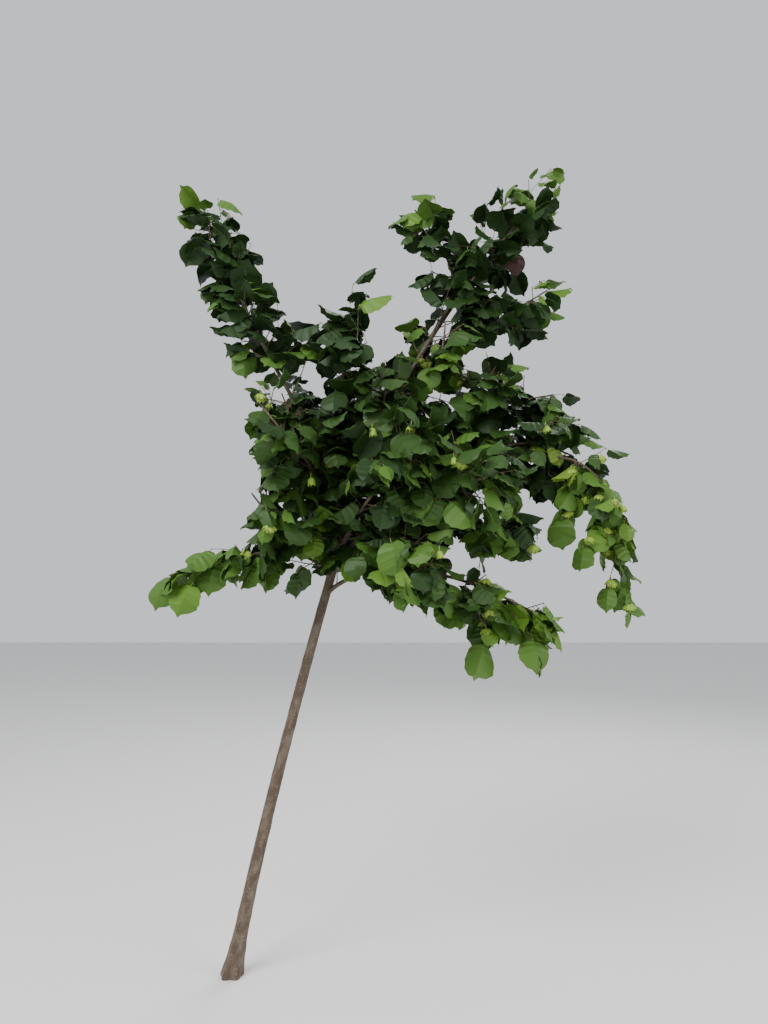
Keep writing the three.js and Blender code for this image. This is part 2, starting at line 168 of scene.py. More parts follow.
# name, parent, share of the parent's length where it starts, tip, radius at the base and at the tip
BOUGHS = (
    ("bough_centre", "trunk", 1, (742, 40, 2310), 13, 7),
    ("bough_left", "trunk", 0.975, (152, -120, 2010), 11, 6.5),
    ("bough_right", "trunk", 0.955, (930, 20, 1790), 10.5, 6),
    ("bough_low_left", "trunk", 0.93, (150, -120, 1405), 7, 5),
    ("bough_low_right", "trunk", 0.9, (735, -150, 1320), 8, 5),
    ("bough_back", "trunk", 0.94, (330, 250, 1640), 9, 6),
    ("bough_front", "trunk", 0.965, (470, -210, 1590), 8, 5.5),
    ("bough_left_mid", "bough_left", 0.3, (240, -200, 1720), 6, 5),
    ("bough_left_low", "bough_left", 0.14, (215, -130, 1500), 6, 5),
    ("bough_inner_left", "bough_left", 0.52, (350, -150, 1960), 6, 5),
    ("bough_back_left", "bough_left", 0.4, (200, 140, 1850), 7, 5),
    ("bough_middle", "bough_centre", 0.2, (470, -90, 1790), 6.5, 5),
    ("bough_centre_upper", "bough_centre", 0.5, (650, -70, 2010), 6.5, 5),
    ("bough_back_upper", "bough_centre", 0.42, (560, 190, 1990), 7, 5),
    ("bough_mid_right", "bough_centre", 0.66, (850, 110, 2250), 6.5, 5),
    ("bough_top_right", "bough_centre", 0.8, (850, 80, 2460), 6.5, 5),
    ("bough_right_inner", "bough_centre", 0.34, (720, -40, 1890), 6.5, 5),
    ("bough_right_upper", "bough_right", 0.6, (930, 90, 1920), 6.5, 5),
    ("bough_droop", "bough_right", 0.82, (1110, -70, 1740), 6, 4.5),
    ("bough_front_right", "bough_right", 0.38, (690, -220, 1600), 6.5, 5),
    ("bough_back_right", "bough_right", 0.48, (760, 230, 1700), 7, 5),
    ("bough_right_under", "bough_right", 0.32, (720, -60, 1520), 6.5, 5),
    ("bough_front_low", "bough_low_right", 0.42, (530, -250, 1390), 5.5, 4.5),
    ("bough_low_hang", "bough_low_right", 0.78, (790, -180, 1230), 5, 4),
    ("bough_back_low", "bough_back", 0.45, (520, 230, 1470), 6, 4.5),
)

# name, bough, tip of the stem, reach round the stem, shoots, nut clusters, seed, dress
MASSES = (
    ("leaves_top_centre", "bough_centre", (617, -62, 2650), 190, 5, 0, 3, "top"),
    ("leaves_left_leader", "bough_left", (-120, -182, 2600), 195, 10, 0, 5, "leader"),
    ("leaves_right", "bough_right", (1200, 40, 1760), 215, 5, 1, 8, "mixed"),
    ("leaves_low_left", "bough_low_left", (-200, -180, 1325), 130, 4, 0, 13, "arm"),
    ("leaves_low_right", "bough_low_right", (1052, -212, 1170), 155, 4, 2, 21, "hanging"),
    ("leaves_back", "bough_back", (345, 435, 1850), 220, 6, 1, 34, "deep"),
    ("leaves_front", "bough_front", (593, -437, 1720), 205, 5, 1, 4, "mixed"),
    ("leaves_left_mid", "bough_left_mid", (90, -250, 1900), 190, 5, 1, 7, "mixed"),
    ("leaves_left_low", "bough_left_low", (70, -200, 1600), 205, 6, 1, 11, "light"),
    ("leaves_inner_left", "bough_inner_left", (440, -190, 2225), 170, 4, 0, 19, "inner"),
    ("leaves_back_left", "bough_back_left", (100, 270, 2060), 190, 5, 0, 29, "deep"),
    ("leaves_middle", "bough_middle", (523, -167, 1990), 190, 4, 1, 47, "mixed"),
    ("leaves_centre_upper", "bough_centre_upper", (720, -130, 2210), 175, 5, 1, 6, "airy"),
    ("leaves_back_upper", "bough_back_upper", (612, 288, 2190), 190, 5, 0, 10, "thin"),
    ("leaves_mid_right", "bough_mid_right", (1140, 140, 2430), 180, 4, 0, 16, "top"),
    ("leaves_top_right", "bough_top_right", (1127, 108, 2790), 195, 5, 0, 26, "top"),
    ("leaves_right_inner", "bough_right_inner", (900, -120, 2060), 175, 5, 0, 51, "mixed"),
    ("leaves_right_upper", "bough_right_upper", (1150, 120, 2010), 180, 4, 1, 42, "deep"),
    ("leaves_droop", "bough_droop", (1343, 0, 1325), 150, 5, 4, 68, "yellow"),
    ("leaves_front_right", "bough_front_right", (854, -374, 1640), 200, 5, 1, 9, "mixed"),
    ("leaves_back_right", "bough_back_right", (990, 400, 1870), 210, 6, 1, 15, "deep"),
    ("leaves_right_under", "bough_right_under", (970, -110, 1440), 205, 5, 1, 57, "open"),
    ("leaves_front_low", "bough_front_low", (640, -340, 1310), 185, 5, 0, 24, "light"),
    ("leaves_low_hang", "bough_low_hang", (859, -204, 1100), 105, 3, 2, 39, "hanging"),
    ("leaves_back_low", "bough_back_low", (744, 326, 1400), 175, 5, 1, 63, "open"),
)

# How a mass is dressed: the tints dealt out to its sprays, the size of its leaves, how far they droop, the
# shares of its finer twigs and of its bough's that grow, the share of the twigs that bear nuts and how much
# of its reach it fills. Vigorous upright shoots carry few, large leaves.
Dress = namedtuple("Dress", "tints leaf_size droops fine_share bough_share nut_share extent")
# Where fresh and young are dealt to a mass, they stand partly for leaves lit from the front or from behind,
# as painted light; every tint also holds painted shade
DRESSES = {
    "leader": Dress("deep middle deep deep middle deep fresh", 1.08, (0.1, 1), 0.8, 1, 0, 0.72),
    "top": Dress("deep middle deep deep deep middle", 1.05, (-0.1, 0.9), 0.5, 0.8, 0, 1),
    "inner": Dress("deep middle deep deep fresh", 1.05, (-0.1, 1), 0.9, 1, 0, 1.4),
    "deep": Dress("deep deep middle deep middle", 0.98, (0.15, 1.15), 1, 1, 0, 1),
    "mixed": Dress("deep middle middle fresh deep middle", 0.98, (0.15, 1.15), 1, 1, 0.12, 1),
    "light": Dress("middle fresh middle fresh middle young deep", 1, (0.15, 1.15), 0.8, 1, 0.12, 0.85),
    "airy": Dress("middle fresh deep young fresh", 0.9, (0.1, 1.1), 0.4, 0.3, 0.15, 0.9),
    "thin": Dress("deep deep middle", 0.95, (0.1, 1.1), 0.5, 0.5, 0, 1),
    "open": Dress("deep middle middle fresh deep", 1, (0.2, 1.2), 0.5, 0.4, 0.2, 1),
    "arm": Dress("fresh middle fresh", 1.2, (0.1, 0.9), 0.1, 0.6, 0, 0.95),
    "hanging": Dress("middle fresh fresh middle young", 1.15, (0.3, 1.2), 0.3, 0.4, 0.15, 0.85),
    "yellow": Dress("fresh young yellow fresh middle young", 0.95, (0.3, 1.3), 0.4, 0.3, 1, 1),
}

# Masses whose leaves are young or fresh round the tip of the stem, and fresh down to a little below it. The
# light green of these two tints is partly painted light
YOUNG_TIPS = ("leaves_top_centre", "leaves_left_leader", "leaves_mid_right", "leaves_top_right")
YOUNG_WITHIN = 60 * MM
FRESH_WITHIN = 80 * MM
FRESH_BELOW = 40 * MM

# How far from the boughs leaves grow too, where no mass reaches
BOUGH_REACH = 135 * MM

# Twigs that the photograph shows: their mass, the share of its stem where they start, and their tip
SHOWN_TWIGS = (
    ("leaves_left_leader", 0.06, (275, -150, 2150)),
    ("leaves_inner_left", 0.4, (290, -200, 2180)),
    ("leaves_inner_left", 0.2, (265, -140, 2100)),
    ("leaves_droop", 0.3, (1185, -110, 1590)),
    ("leaves_droop", 0.55, (1240, -90, 1470)),
    ("leaves_droop", 0.8, (1275, -60, 1290)),
    ("leaves_droop", 0.97, (1365, -30, 1215)),
    ("leaves_droop", 0.16, (1110, -110, 1520)),
    ("leaves_droop", 0.42, (1180, -110, 1425)),
    ("leaves_low_right", 0.35, (1000, -245, 1100)),
    ("leaves_low_hang", 0.75, (830, -230, 1115)),
    ("leaves_top_centre", 0.7, (690, -90, 2690)),
    ("leaves_top_right", 0.15, (1045, 80, 2565)),
)

# Single leaves that stand out: where each hangs, where it points, where its upper side faces, its tint and
# its length
FEATURE_LEAVES = {
    "withered": ((1.045, 0.08, 2.565), (0.15, -0.2, -1), (0.3, -1, 0.1), "dead", 0.1),
    "leader_tip": ((-0.06, -0.21, 2.61), (0.9, -0.3, -0.25), (0, -0.6, 1), "fresh", 0.11),
    "leader_foot_out": ((0.05, -0.13, 2.135), (-0.7, -0.45, -0.5), (-0.1, -0.6, 1), "fresh", 0.105),
    "leader_foot_down": ((0.02, -0.13, 2.11), (0.1, -0.4, -0.9), (0, -1, 0.2), "fresh", 0.11),
    "pale_pair_left": ((0.684, -0.314, 1.579), (-0.65, -0.65, -0.5), (-0.15, -1, 0.6), "fresh", 0.145),
    "pale_pair_right": ((0.705, -0.343, 1.556), (0.5, -0.6, -0.4), (0.1, -1, 0.5), "fresh", 0.135),
    "inner_left_tip": ((0.423, -0.259, 2.227), (0.75, -0.2, 0.65), (-0.4, -0.8, 0.7), "young", 0.13),
    "arm_end": ((-0.187, -0.181, 1.33), (-0.5, -0.4, -0.7), (-0.1, -0.7, 0.9), "fresh", 0.13),
    "arm_below": ((-0.108, -0.219, 1.304), (-0.4, -0.3, -0.7), (0.1, -0.9, 0.7), "young", 0.125),
    "low_front": ((0.527, -0.403, 1.433), (0.25, -0.3, -1), (0.1, -1, 0.3), "fresh", 0.125),
}

# Nut clusters that stand out, by where they hang: the photograph's column and row, and how many nuts
FEATURE_NUTS = {
    "left_of_middle": ((378, 410, 1),),
    "left": ((305, 476, 1),),
    "middle": ((446, 466, 1), (459, 460, 2)),
    "low_middle": ((461, 535, 1), (492, 604, 2)),
    "droop_start": ((573, 488, 1), (561, 526, 2), (585, 521, 3), (572, 550, 2)),
    "droop_end": ((609, 556, 4), (602, 572, 2), (626, 606, 2)),
}

# Gaps where the photograph shows what lies beyond the crown, by where they are: the photograph's column and
# row, and the radius round them in which the rule puts no leaf's middle and ends no finer twig
GAPS = {
    "left_edge": ((236, 402, 23), (234, 430, 23), (240, 458, 20), (242, 487, 22)),
    "left_beyond": ((212, 440, 22), (214, 486, 20), (227, 524, 22), (204, 534, 16)),
    "between_leaders": ((382, 336, 26), (318, 290, 24)),
    "upper_left": ((312, 370, 16), (280, 396, 16)),
    "upper_middle": ((448, 324, 16), (475, 360, 16), (506, 349, 14), (436, 397, 12)),
    "top_centre": ((464, 220, 18), (418, 262, 14), (440, 262, 10), (412, 306, 12)),
    "top_right": ((530, 292, 12), (529, 264, 21)),
    "right_notch": ((545, 375, 26),),
    "right_of_droop": ((632, 468, 18), (643, 502, 20), (646, 536, 16)),
    "lower_right": ((485, 497, 16), (460, 553, 18), (498, 566, 20), (540, 578, 30)),
    "low_sprays": ((504, 640, 13),),
    "below_fork": ((362, 596, 26),),
}

# A leaf's margin from the notch at its base to its tip, and where each row leaves the midrib, as shares of
# its length. Every second row runs along a vein and ends in a tooth.
LEAF_MARGIN = (
    (0.03, -0.01),
    (0.2, -0.08),
    (0.325, -0.005),
    (0.42, 0.105),
    (0.455, 0.235),
    (0.5, 0.375),
    (0.483, 0.5),
    (0.485, 0.635),
    (0.41, 0.745),
    (0.3, 0.86),
    (0.1, 0.92),
)
LEAF_TIP = 1.05
LEAF_HALF_WIDTH = 0.47
LEAF_VEINS = (0.0, 0.015, 0.05, 0.11, 0.19, 0.28, 0.38, 0.49, 0.61, 0.74, 0.87)
LEAF_MIDDLE = 0.55  # share of a row's width where its middle corner lies
LEAF_CREASE = 22  # degrees from which the pleats stay sharp
MOULDS = 9
FEATURE_MOULD = 1
LEAF_CENTRE = 0.6

# How near another leaf's middle may be to the line of sight to a single leaf, a nut cluster or a limb. Leaves
# that are nearer are left out. For a single leaf it is a share of its length.
LEAF_VIEW = 0.58
NUT_VIEW = 46 * MM
LIMB_VIEW = 34 * MM
LIMB_VIEWS = 12

# Stretches of the limbs that the photograph shows between the leaves, from share to share of their length
SHOWN_LIMBS = (
    ("trunk", 0.94, 1),
    ("bough_centre", 0, 0.08),
    ("bough_centre", 0.68, 1),
)

# The photograph's view: its frame in pixels, and a camera at chest height that looks a little upwards
FRAME_WIDTH = 768
FRAME_HEIGHT = 1024
FOCAL_PIXELS = 753
SENSOR = 36
CAMERA_AT = (0.508, -2.66, 1.28)
CAMERA_PITCH = math.radians(5.9)

# The draws: how far apart two seeds start, and the factor and the prime that give the next draw
SEED_STEP = 7919
DRAW_FACTOR = 48271
DRAW_PRIME = 2147483647

# A cluster of nuts: where its stalk starts, its middle, a turn of its own and its nuts, or 0 for any number
Cluster = namedtuple("Cluster", "root middle turn count")


def unit(vector):
    return vector / np.linalg.norm(vector)


def blend(first, second, share):
    return first + (second - first) * share


def metres(place):
    return np.array(place, float) * MM


def seeded_draws(seed):
    """Draws from 0 to 1, the same every time for one seed."""
    state = seed * SEED_STEP

    def draw():
        nonlocal state
        state = state * DRAW_FACTOR % DRAW_PRIME
        return state / DRAW_PRIME

    return draw


def between(limits, draw):
    return blend(*limits, draw())


def turned(vector, axis, angle):
    """A vector turned about a unit axis that is square to it."""
    return vector * math.cos(angle) + np.cross(axis, vector) * math.sin(angle)


def in_photo(place):
    """The photograph's column and row where a place shows, and how far it lies from the camera."""
    x, y, z = place - np.array(CAMERA_AT)
    depth = y * math.cos(CAMERA_PITCH) + z * math.sin(CAMERA_PITCH)
    rise = z * math.cos(CAMERA_PITCH) - y * math.sin(CAMERA_PITCH)
    column = FRAME_WIDTH / 2 + FOCAL_PIXELS * x / depth
    row = FRAME_HEIGHT / 2 - FOCAL_PIXELS * rise / depth
    return column, row, depth


def in_gap(place):
    """True where the photograph shows what lies beyond the crown."""
    column, row, _ = in_photo(place)
    gaps = [gap for group in GAPS.values() for gap in group]
    return any(math.hypot(column - u, row - v) < radius for u, v, radius in gaps)


class Branch:
    """A limb, stem, shoot or twig: a curve, with two directions across it at any place."""

    LENGTH_STEPS = 60

    def __init__(self, start, control, tip, base_radius, tip_radius):
        self.start, self.control, self.tip = start, control, tip
        self.radii = (base_radius, tip_radius)
        first = unit(control - start)
        across = np.cross(first, unit(tip - start))
        if np.linalg.norm(across) < STRAIGHT_WITHIN:
            across = np.cross(first, ASIDE)
        self.across = unit(across)
        steps = np.diff(self.points(self.LENGTH_STEPS), axis=0)
        self.length = float(np.linalg.norm(steps, axis=1).sum())

    def point(self, along):
        back = 1 - along
        return back * back * self.start + 2 * back * along * self.control + along * along * self.tip

    def points(self, steps):
        return np.array([self.point(i / steps) for i in range(steps + 1)])

    def direction(self, along):
        return unit((1 - along) * (self.control - self.start) + along * (self.tip - self.control))

    def sideways(self, along, roll):
        second = np.cross(self.across, self.direction(along))
        return second * math.cos(roll) + self.across * math.sin(roll)

    def radius(self, along):
        return blend(*self.radii, along)


def bend_to(start, start_direction, tip, base_radius, tip_radius):
    """A branch that leaves its start in one direction and bends to its tip."""
    control = start + start_direction * np.linalg.norm(tip - start) * START_REACH
    return Branch(start, control, tip, base_radius, tip_radius)


def grown_out(parent, along, roll, spread, length, lift):
    """Where a twig starts on its parent, in which direction, and where its tip is."""
    out = parent.sideways(along, roll)
    heading = parent.direction(along) * math.cos(spread) + out * math.sin(spread)
    start = parent.point(along)
    tip = start + heading * length
    tip[2] += length * lift
    return start, heading, tip


class Taken:
    """Points that are taken, each with its room and its owner, in cells so that near ones are found fast."""

    CELL = 40 * MM

    def __init__(self):
        self.cells = defaultdict(list)

    def cell_of(self, point):
        return tuple(int(math.floor(x / self.CELL)) for x in point)

    def add(self, points, room, owner):
        for point in points:
            self.cells[self.cell_of(point)].append((*point, room, owner))

    def is_free(self, points, room, own):
        """True where the points keep off all that is taken, but for what belongs to their own branches."""
        for point in points:
            x, y, z = point
            i, j, k = self.cell_of(point)
            for a in (i - 1, i, i + 1):
                for b in (j - 1, j, j + 1):
                    for c in (k - 1, k, k + 1):
                        for px, py, pz, other_room, owner in self.cells.get((a, b, c), ()):
                            apart = (x - px) ** 2 + (y - py) ** 2 + (z - pz) ** 2
                            if apart < (room + other_room) ** 2 and owner not in own:
                                return False
        return True


class Mass:
    """A mass of foliage: its stem, which carries on from its bough, and the twigs that grow there."""

    def __init__(self, name, bough, tip, reach, shoots, nuts, seed, dress):
        self.name, self.reach, self.seed = name, reach * MM, seed
        self.shoot_count, self.nut_count = shoots, nuts
        self.bough, self.dress = bough, DRESSES[dress]
        self.draw = seeded_draws(seed)
        direction = bough.direction(1)
        start = bough.point(1) + direction * STEM_GAP
        base_radius = bough.radii[1] * STEM_BASE_SHARE
        self.stem = bend_to(start, direction, metres(tip), base_radius, STEM_TIP_RADIUS)
        self.shoots, self.fine_twigs = [], []

    def twigs(self):
        """The shoots and the finer twigs, in the order in which they bear leaves."""
        return [*self.shoots, *self.fine_twigs]


def in_box(places):
    """True within the box of the solids, and a little more."""
    low, high = np.array(CAD_BOX)
    places = np.array(places)
    return bool(np.all(places > low - BOX_ROOM) and np.all(places < high + BOX_ROOM))


def fullness(along):
    """How full a mass is along its stem: fullest near the middle, least at the tip."""
    return FULLNESS_LEAST + FULLNESS_RISE * math.sin(math.pi * (FULLNESS_FROM + FULLNESS_SPAN * along))


def make_limbs():
    bend = metres(TRUNK_BEND)
    start = bend * (-BELOW_CUT / TRUNK_BEND[2])
    limbs = {"trunk": Branch(start, bend, metres(TRUNK_FORK), *metres(TRUNK_RADII))}
    for name, parent_name, at, tip, base_radius, tip_radius in BOUGHS:
        parent = limbs[parent_name]
        direction = parent.direction(at)
        start = parent.point(at) + (direction * STEM_GAP if at == 1 else 0)
        heading = unit(metres(tip) - start)
        start_direction = unit(blend(heading, direction, 1 if at == 1 else BOUGH_LIFT))
        limbs[name] = bend_to(start, start_direction, metres(tip), base_radius * MM, tip_radius * MM)
    return limbs


class Leaf:
    """A leaf with its stalk, on the twig that bears it."""

    # Places on the blade, across and ahead as shares of the length, that keep off what is there already
    SAMPLES = ((0, 0.3), (0, 0.62), (0.3, 0.4), (-0.3, 0.4), (0.22, 0.75), (-0.22, 0.75), (0, 0.97))

    def __init__(self, root, forward, normal, length, tint, mould):
        self.root, self.length, self.tint, self.mould = root, length, tint, mould
        self.is_feature = False
        self.face(forward, normal)

    def face(self, forward, normal):
        """Points the leaf forward, with its upper side as near to the normal as that leaves it."""
        self.forward = unit(forward)
        self.normal = unit(normal - self.forward * np.dot(normal, self.forward))
        self.side = np.cross(self.forward, self.normal)

    def feature(self, forward, normal, tint, length):
        """Makes this one of the leaves that stand out."""
        self.is_feature = True
        self.tint, self.length, self.mould = tint, length, FEATURE_MOULD
        self.face(np.array(forward), np.array(normal))

    def middle(self):
        return self.root + self.forward * self.length * LEAF_CENTRE

    def hides(self, place, room):
        """True where the leaf stands before a place, as the photograph shows them."""
        off = self.middle() - place
        to_camera = unit(CAMERA_AT - place)
        ahead = off.dot(to_camera)
        return ahead > 0 and np.linalg.norm(off - ahead * to_camera) < room

    def samples(self):
        return [self.root + self.length * (x * self.side + y * self.forward) for x, y in self.SAMPLES]


class Crown:
    """The limbs and the masses, and the twigs, leaves and nuts that grow on them."""

    SAMPLES = 12

    def __init__(self, leaf_length, leaf_spacing):
        self.leaf_length, self.leaf_spacing = leaf_length, leaf_spacing
        self.limbs = make_limbs()
        self.masses = [Mass(row[0], self.limbs[row[1]], *row[2:]) for row in MASSES]
        shares = [i / self.SAMPLES for i in range(self.SAMPLES + 1)]
        self.spine = np.array([[mass.stem.point(share) for share in shares] for mass in self.masses])
        self.extents = np.array([mass.dress.extent for mass in self.masses])
        self.bough_points = np.vstack([mass.bough.points(self.SAMPLES) for mass in self.masses])
        self.reach = np.array([[mass.reach * fullness(share) for share in shares] for mass in self.masses])
        self.taken = Taken()
        self.leaves, self.nuts, self.ends, self.shown = [], [], {}, set()
        for branch in [*self.limbs.values(), *(mass.stem for mass in self.masses)]:
            self.take(branch)
        self.grow_in_turn(self.shoot_places, self.try_shoot)
        self.grow_shown_twigs()
        self.grow_in_turn(self.nut_places, self.try_nuts)
        self.grow_in_turn(self.fine_places, self.try_fine_twig)
        self.grow_in_turn(self.more_nut_places, self.try_nuts)
        self.grow_in_turn(self.all_leaf_places, self.try_leaf)

    def take(self, branch):
        steps = max(round(branch.length / TAKEN_STEP), FEWEST_STEPS)
        for i, point in enumerate(branch.points(steps)):
            self.taken.add([point], branch.radius(i / steps), branch)

    def shares_of_reach(self, place):
        """How far a place is from each mass's stem, as shares of the mass's reach there."""
        return (np.linalg.norm(self.spine - place, axis=2) / self.reach).min(axis=1)

    def in_space(self, mass, place):
        """True within a mass's reach and nearer to its stem than to any other."""
        shares = self.shares_of_reach(place)
        own = shares[self.masses.index(mass)]
        return own < 1 and own <= shares.min()

    def in_crown(self, place):
        """True near some mass's stem or a bough. Finer twigs and leaves fill what is left between masses."""
        from_boughs = np.linalg.norm(self.bough_points - place, axis=1).min()
        return from_boughs < BOUGH_REACH or (self.shares_of_reach(place) / self.extents).min() < 1

    def dress_at(self, place):
        return self.masses[int(self.shares_of_reach(place).argmin())].dress

    def mass_names(self):
        return [mass.name for mass in self.masses]

    def grow_in_turn(self, candidates_of, try_one):
        """Grows one candidate from each mass in turn, each turned on until it fits, or skipped."""
        lists = [candidates_of(mass) for mass in self.masses]
        for i in range(max(map(len, lists))):
            for mass, candidates in zip(self.masses, lists):
                if i < len(candidates):
                    any(try_one(mass, candidates[i], turn) for turn in TRY_TURNS)

    def shoot_places(self, mass):
        places = []
        for i in range(mass.shoot_count):
            share = (i + PLACE_VARIETY * mass.draw()) / mass.shoot_count
            roll = mass.seed + i * GOLDEN_ANGLE + ROLL_VARIETY * mass.draw()
            length_share = between(SHOOT_LENGTHS, mass.draw)
            lift = SHOOT_LIFT * (mass.draw() - SHOOT_DIP)
            places.append((blend(FIRST_SHOOT, LAST_SHOOT, share), roll, length_share, lift))
        return places

    def try_shoot(self, mass, place, turn):
        along, roll, length_share, lift = place
        stem = mass.stem
        length = (mass.reach * fullness(along) - SHOOT_SHORT * SHOOT_LEAF_LENGTH) * length_share
        start, heading, tip = grown_out(stem, along, roll + turn, SHOOT_SPREAD, length, lift)
        base_radius = max(SHOOT_BASE_SHARE * stem.radius(along), SHOOT_TIP_RADIUS)
        shoot = bend_to(start, heading, tip, base_radius, SHOOT_TIP_RADIUS)
        return self.in_space(mass, tip) and self.keep_twig(shoot, stem, mass.shoots)

    def grow_shown_twigs(self):
        named = {mass.name: mass for mass in self.masses}
        for name, along, tip in SHOWN_TWIGS:
            stem = named[name].stem
            start = stem.point(along)
            heading = unit(unit(metres(tip) - start) + SHOWN_TWIG_ALONG * stem.direction(along))
            twig = bend_to(start, heading, metres(tip), *FINE_RADII)
            if self.keep_twig(twig, stem, named[name].fine_twigs):
                self.shown.add(twig)

    def fine_places(self, mass):
        """Places along the shoots, the stem and the bough."""
        places = []
        firsts = {mass.bough: BOUGH_TWIG_FIRST, mass.stem: STEM_TWIG_FIRST}
        for parent in [*mass.shoots, mass.stem, mass.bough]:
            is_bough = parent is mass.bough
            first = firsts.get(parent, FINE_FIRST)
            if is_bough:
                spacing = BOUGH_TWIG_SPACING / mass.dress.bough_share
            else:
                spacing = FINE_SPACING / mass.dress.fine_share
            count = math.ceil(parent.length * (1 - first) / spacing)
            for i in range(count):
                along = blend(first, FINE_LAST, (i + PLACE_VARIETY * mass.draw()) / count)
                roll = mass.seed + FINE_ROLL + i * GOLDEN_ANGLE + ROLL_VARIETY * mass.draw()
                length = between(BOUGH_TWIG_LENGTHS if is_bough else FINE_LENGTHS, mass.draw)
                lift = SHOOT_LIFT * (mass.draw() - SHOOT_DIP)
                places.append((parent, along, roll, length, lift))
        return places

    def try_fine_twig(self, mass, place, turn):
        parent, along, roll, length, lift = place
        start, heading, tip = grown_out(parent, along, roll + turn, FINE_SPREAD, length, lift)
        widest, tip_radius = FINE_RADII
        base_radius = min(max(FINE_BASE_SHARE * parent.radius(along), tip_radius), widest)
        twig = bend_to(start, heading, tip, base_radius, tip_radius)
        fits = self.in_crown(tip) and not in_gap(tip) and self.keep_twig(twig, parent, mass.fine_twigs)
        if fits:
            self.carry_on(parent, along)
        return fits

    def keep_twig(self, twig, parent, kept):
        steps = max(round(twig.length / TRIED_STEP), FEWEST_STEPS)
        fits = self.taken.is_free(twig.points(steps)[1:], twig.radii[0] + TWIG_ROOM, (parent,))
        if fits:
            self.take(twig)
            kept.append(twig)
        return fits

    def nut_places(self, mass):
        return [(twig, mass.draw()) for twig in mass.shoots[: mass.nut_count]]

    def more_nut_places(self, mass):
        draws = [(twig, mass.draw(), self.dress_at(twig.tip).nut_share) for twig in mass.fine_twigs]
        return [(twig, draw / nut_share) for twig, draw, nut_share in draws if draw < nut_share]

    def try_nuts(self, mass, place, turn):
        twig, share = place
        root = twig.point(NUT_PLACE - NUT_BACK * abs(turn))
        middle = root - (0, 0, NUT_DROP)
        fits = self.taken.is_free([middle], NUT_ROOM, (twig,))
        if fits:
            self.taken.add([middle], NUT_ROOM, mass)
            self.nuts.append(Cluster(root, middle, share, 0))
            self.carry_on(twig, NUT_PLACE)
        return fits

    def carry_on(self, twig, along):
        """Notes that a twig bears something at a place. A twig ends where the last thing grows."""
        self.ends[twig] = max(self.ends.get(twig, SHORTEST_END), along)

    def hang_nuts(self, column, row, count):
        """Hangs a cluster from the twig that shows nearest to a place in the photograph, at the front."""

        def far_from_place(twig):
            u, v, depth = in_photo(twig.point(NUT_PLACE))
            return math.hypot(u - column, v - row) + FRONT_WEIGHT * depth

        twigs = [twig for mass in self.masses for twig in mass.twigs()]
        twig = min(twigs, key=far_from_place)
        self.carry_on(twig, NUT_PLACE)
        root = twig.point(NUT_PLACE)
        cluster = Cluster(root, root - (0, 0, NUT_DROP), count / len(twigs), count)
        self.nuts.append(cluster)
        return cluster

    def leaf_places(self, mass, twig, first_roll, first_along):
        """The places of leaves along a twig, alternately on its two sides, with one at its tip."""
        draw, dress = mass.draw, self.dress_at(twig.tip)
        count = max(FEWEST_LEAVES, round(twig.length * (1 - first_along) / self.leaf_spacing))
        tints = dress.tints.split()
        tint = tints[int(draw() * len(tints))]
        places = []
        for i in range(count):
            along = min(first_along + (1 - first_along) * (i + LEAF_PLACE) / count, LAST_LEAF)
            roll = first_roll + i * LEAF_TURN + LEAF_TURN_VARIETY * (draw() - 0.5)
            droop = between(dress.droops, draw)
            tilt = LEAF_TILT * (draw() - 0.5)
            length = self.leaf_length * dress.leaf_size * between(LEAF_LENGTHS, draw)
            mould = int(draw() * MOULDS)
            places.append((twig, along, roll, droop, tilt, length, i == count - 1, tint, mould))
        return places

    def all_leaf_places(self, mass):
        places = []
        for i, twig in enumerate(mass.twigs()):
            places += self.leaf_places(mass, twig, i, FIRST_LEAF)
        return places + self.leaf_places(mass, mass.stem, mass.seed, FIRST_SHOOT)

    def try_leaf(self, mass, place, turn):
        twig, along, roll, droop, tilt, length, is_last, tint, mould = place
        length *= 1 - TURN_SHRINK * abs(turn)
        out = twig.sideways(along, roll + turn)
        out[2] *= LEAF_LEVEL
        forward = unit(out * LEAF_OUT + twig.direction(along) * (TIP_LEAF_ALONG if is_last else LEAF_ALONG))
        forward[2] -= droop
        forward = unit(forward)
        normal = np.array(LIGHT_FROM, float)
        normal = turned(unit(normal - forward * normal.dot(forward)), forward, tilt)
        root = twig.point(along)
        if mass.name in YOUNG_TIPS:
            from_tip = np.linalg.norm(root - mass.stem.tip)
            is_fresh = from_tip < FRESH_WITHIN or mass.stem.tip[2] - root[2] < FRESH_BELOW
            tint = "young" if from_tip < YOUNG_WITHIN else "fresh" if is_fresh else tint
        leaf = Leaf(root, forward, normal, length, tint, mould)
        fits = twig in self.shown or self.in_crown(root + forward * length)
        fits = fits and in_box(leaf.samples()) and not in_gap(leaf.middle())
        fits = fits and self.taken.is_free(leaf.samples(), LEAF_ROOM, (twig,))
        if fits:
            leaf.branch = twig
            leaf.along = along
            self.taken.add(leaf.samples(), LEAF_ROOM, leaf)
            self.leaves.append(leaf)
        return fits


SETTING_DIGITS = 6  # lengths in the settings are read to the micrometre


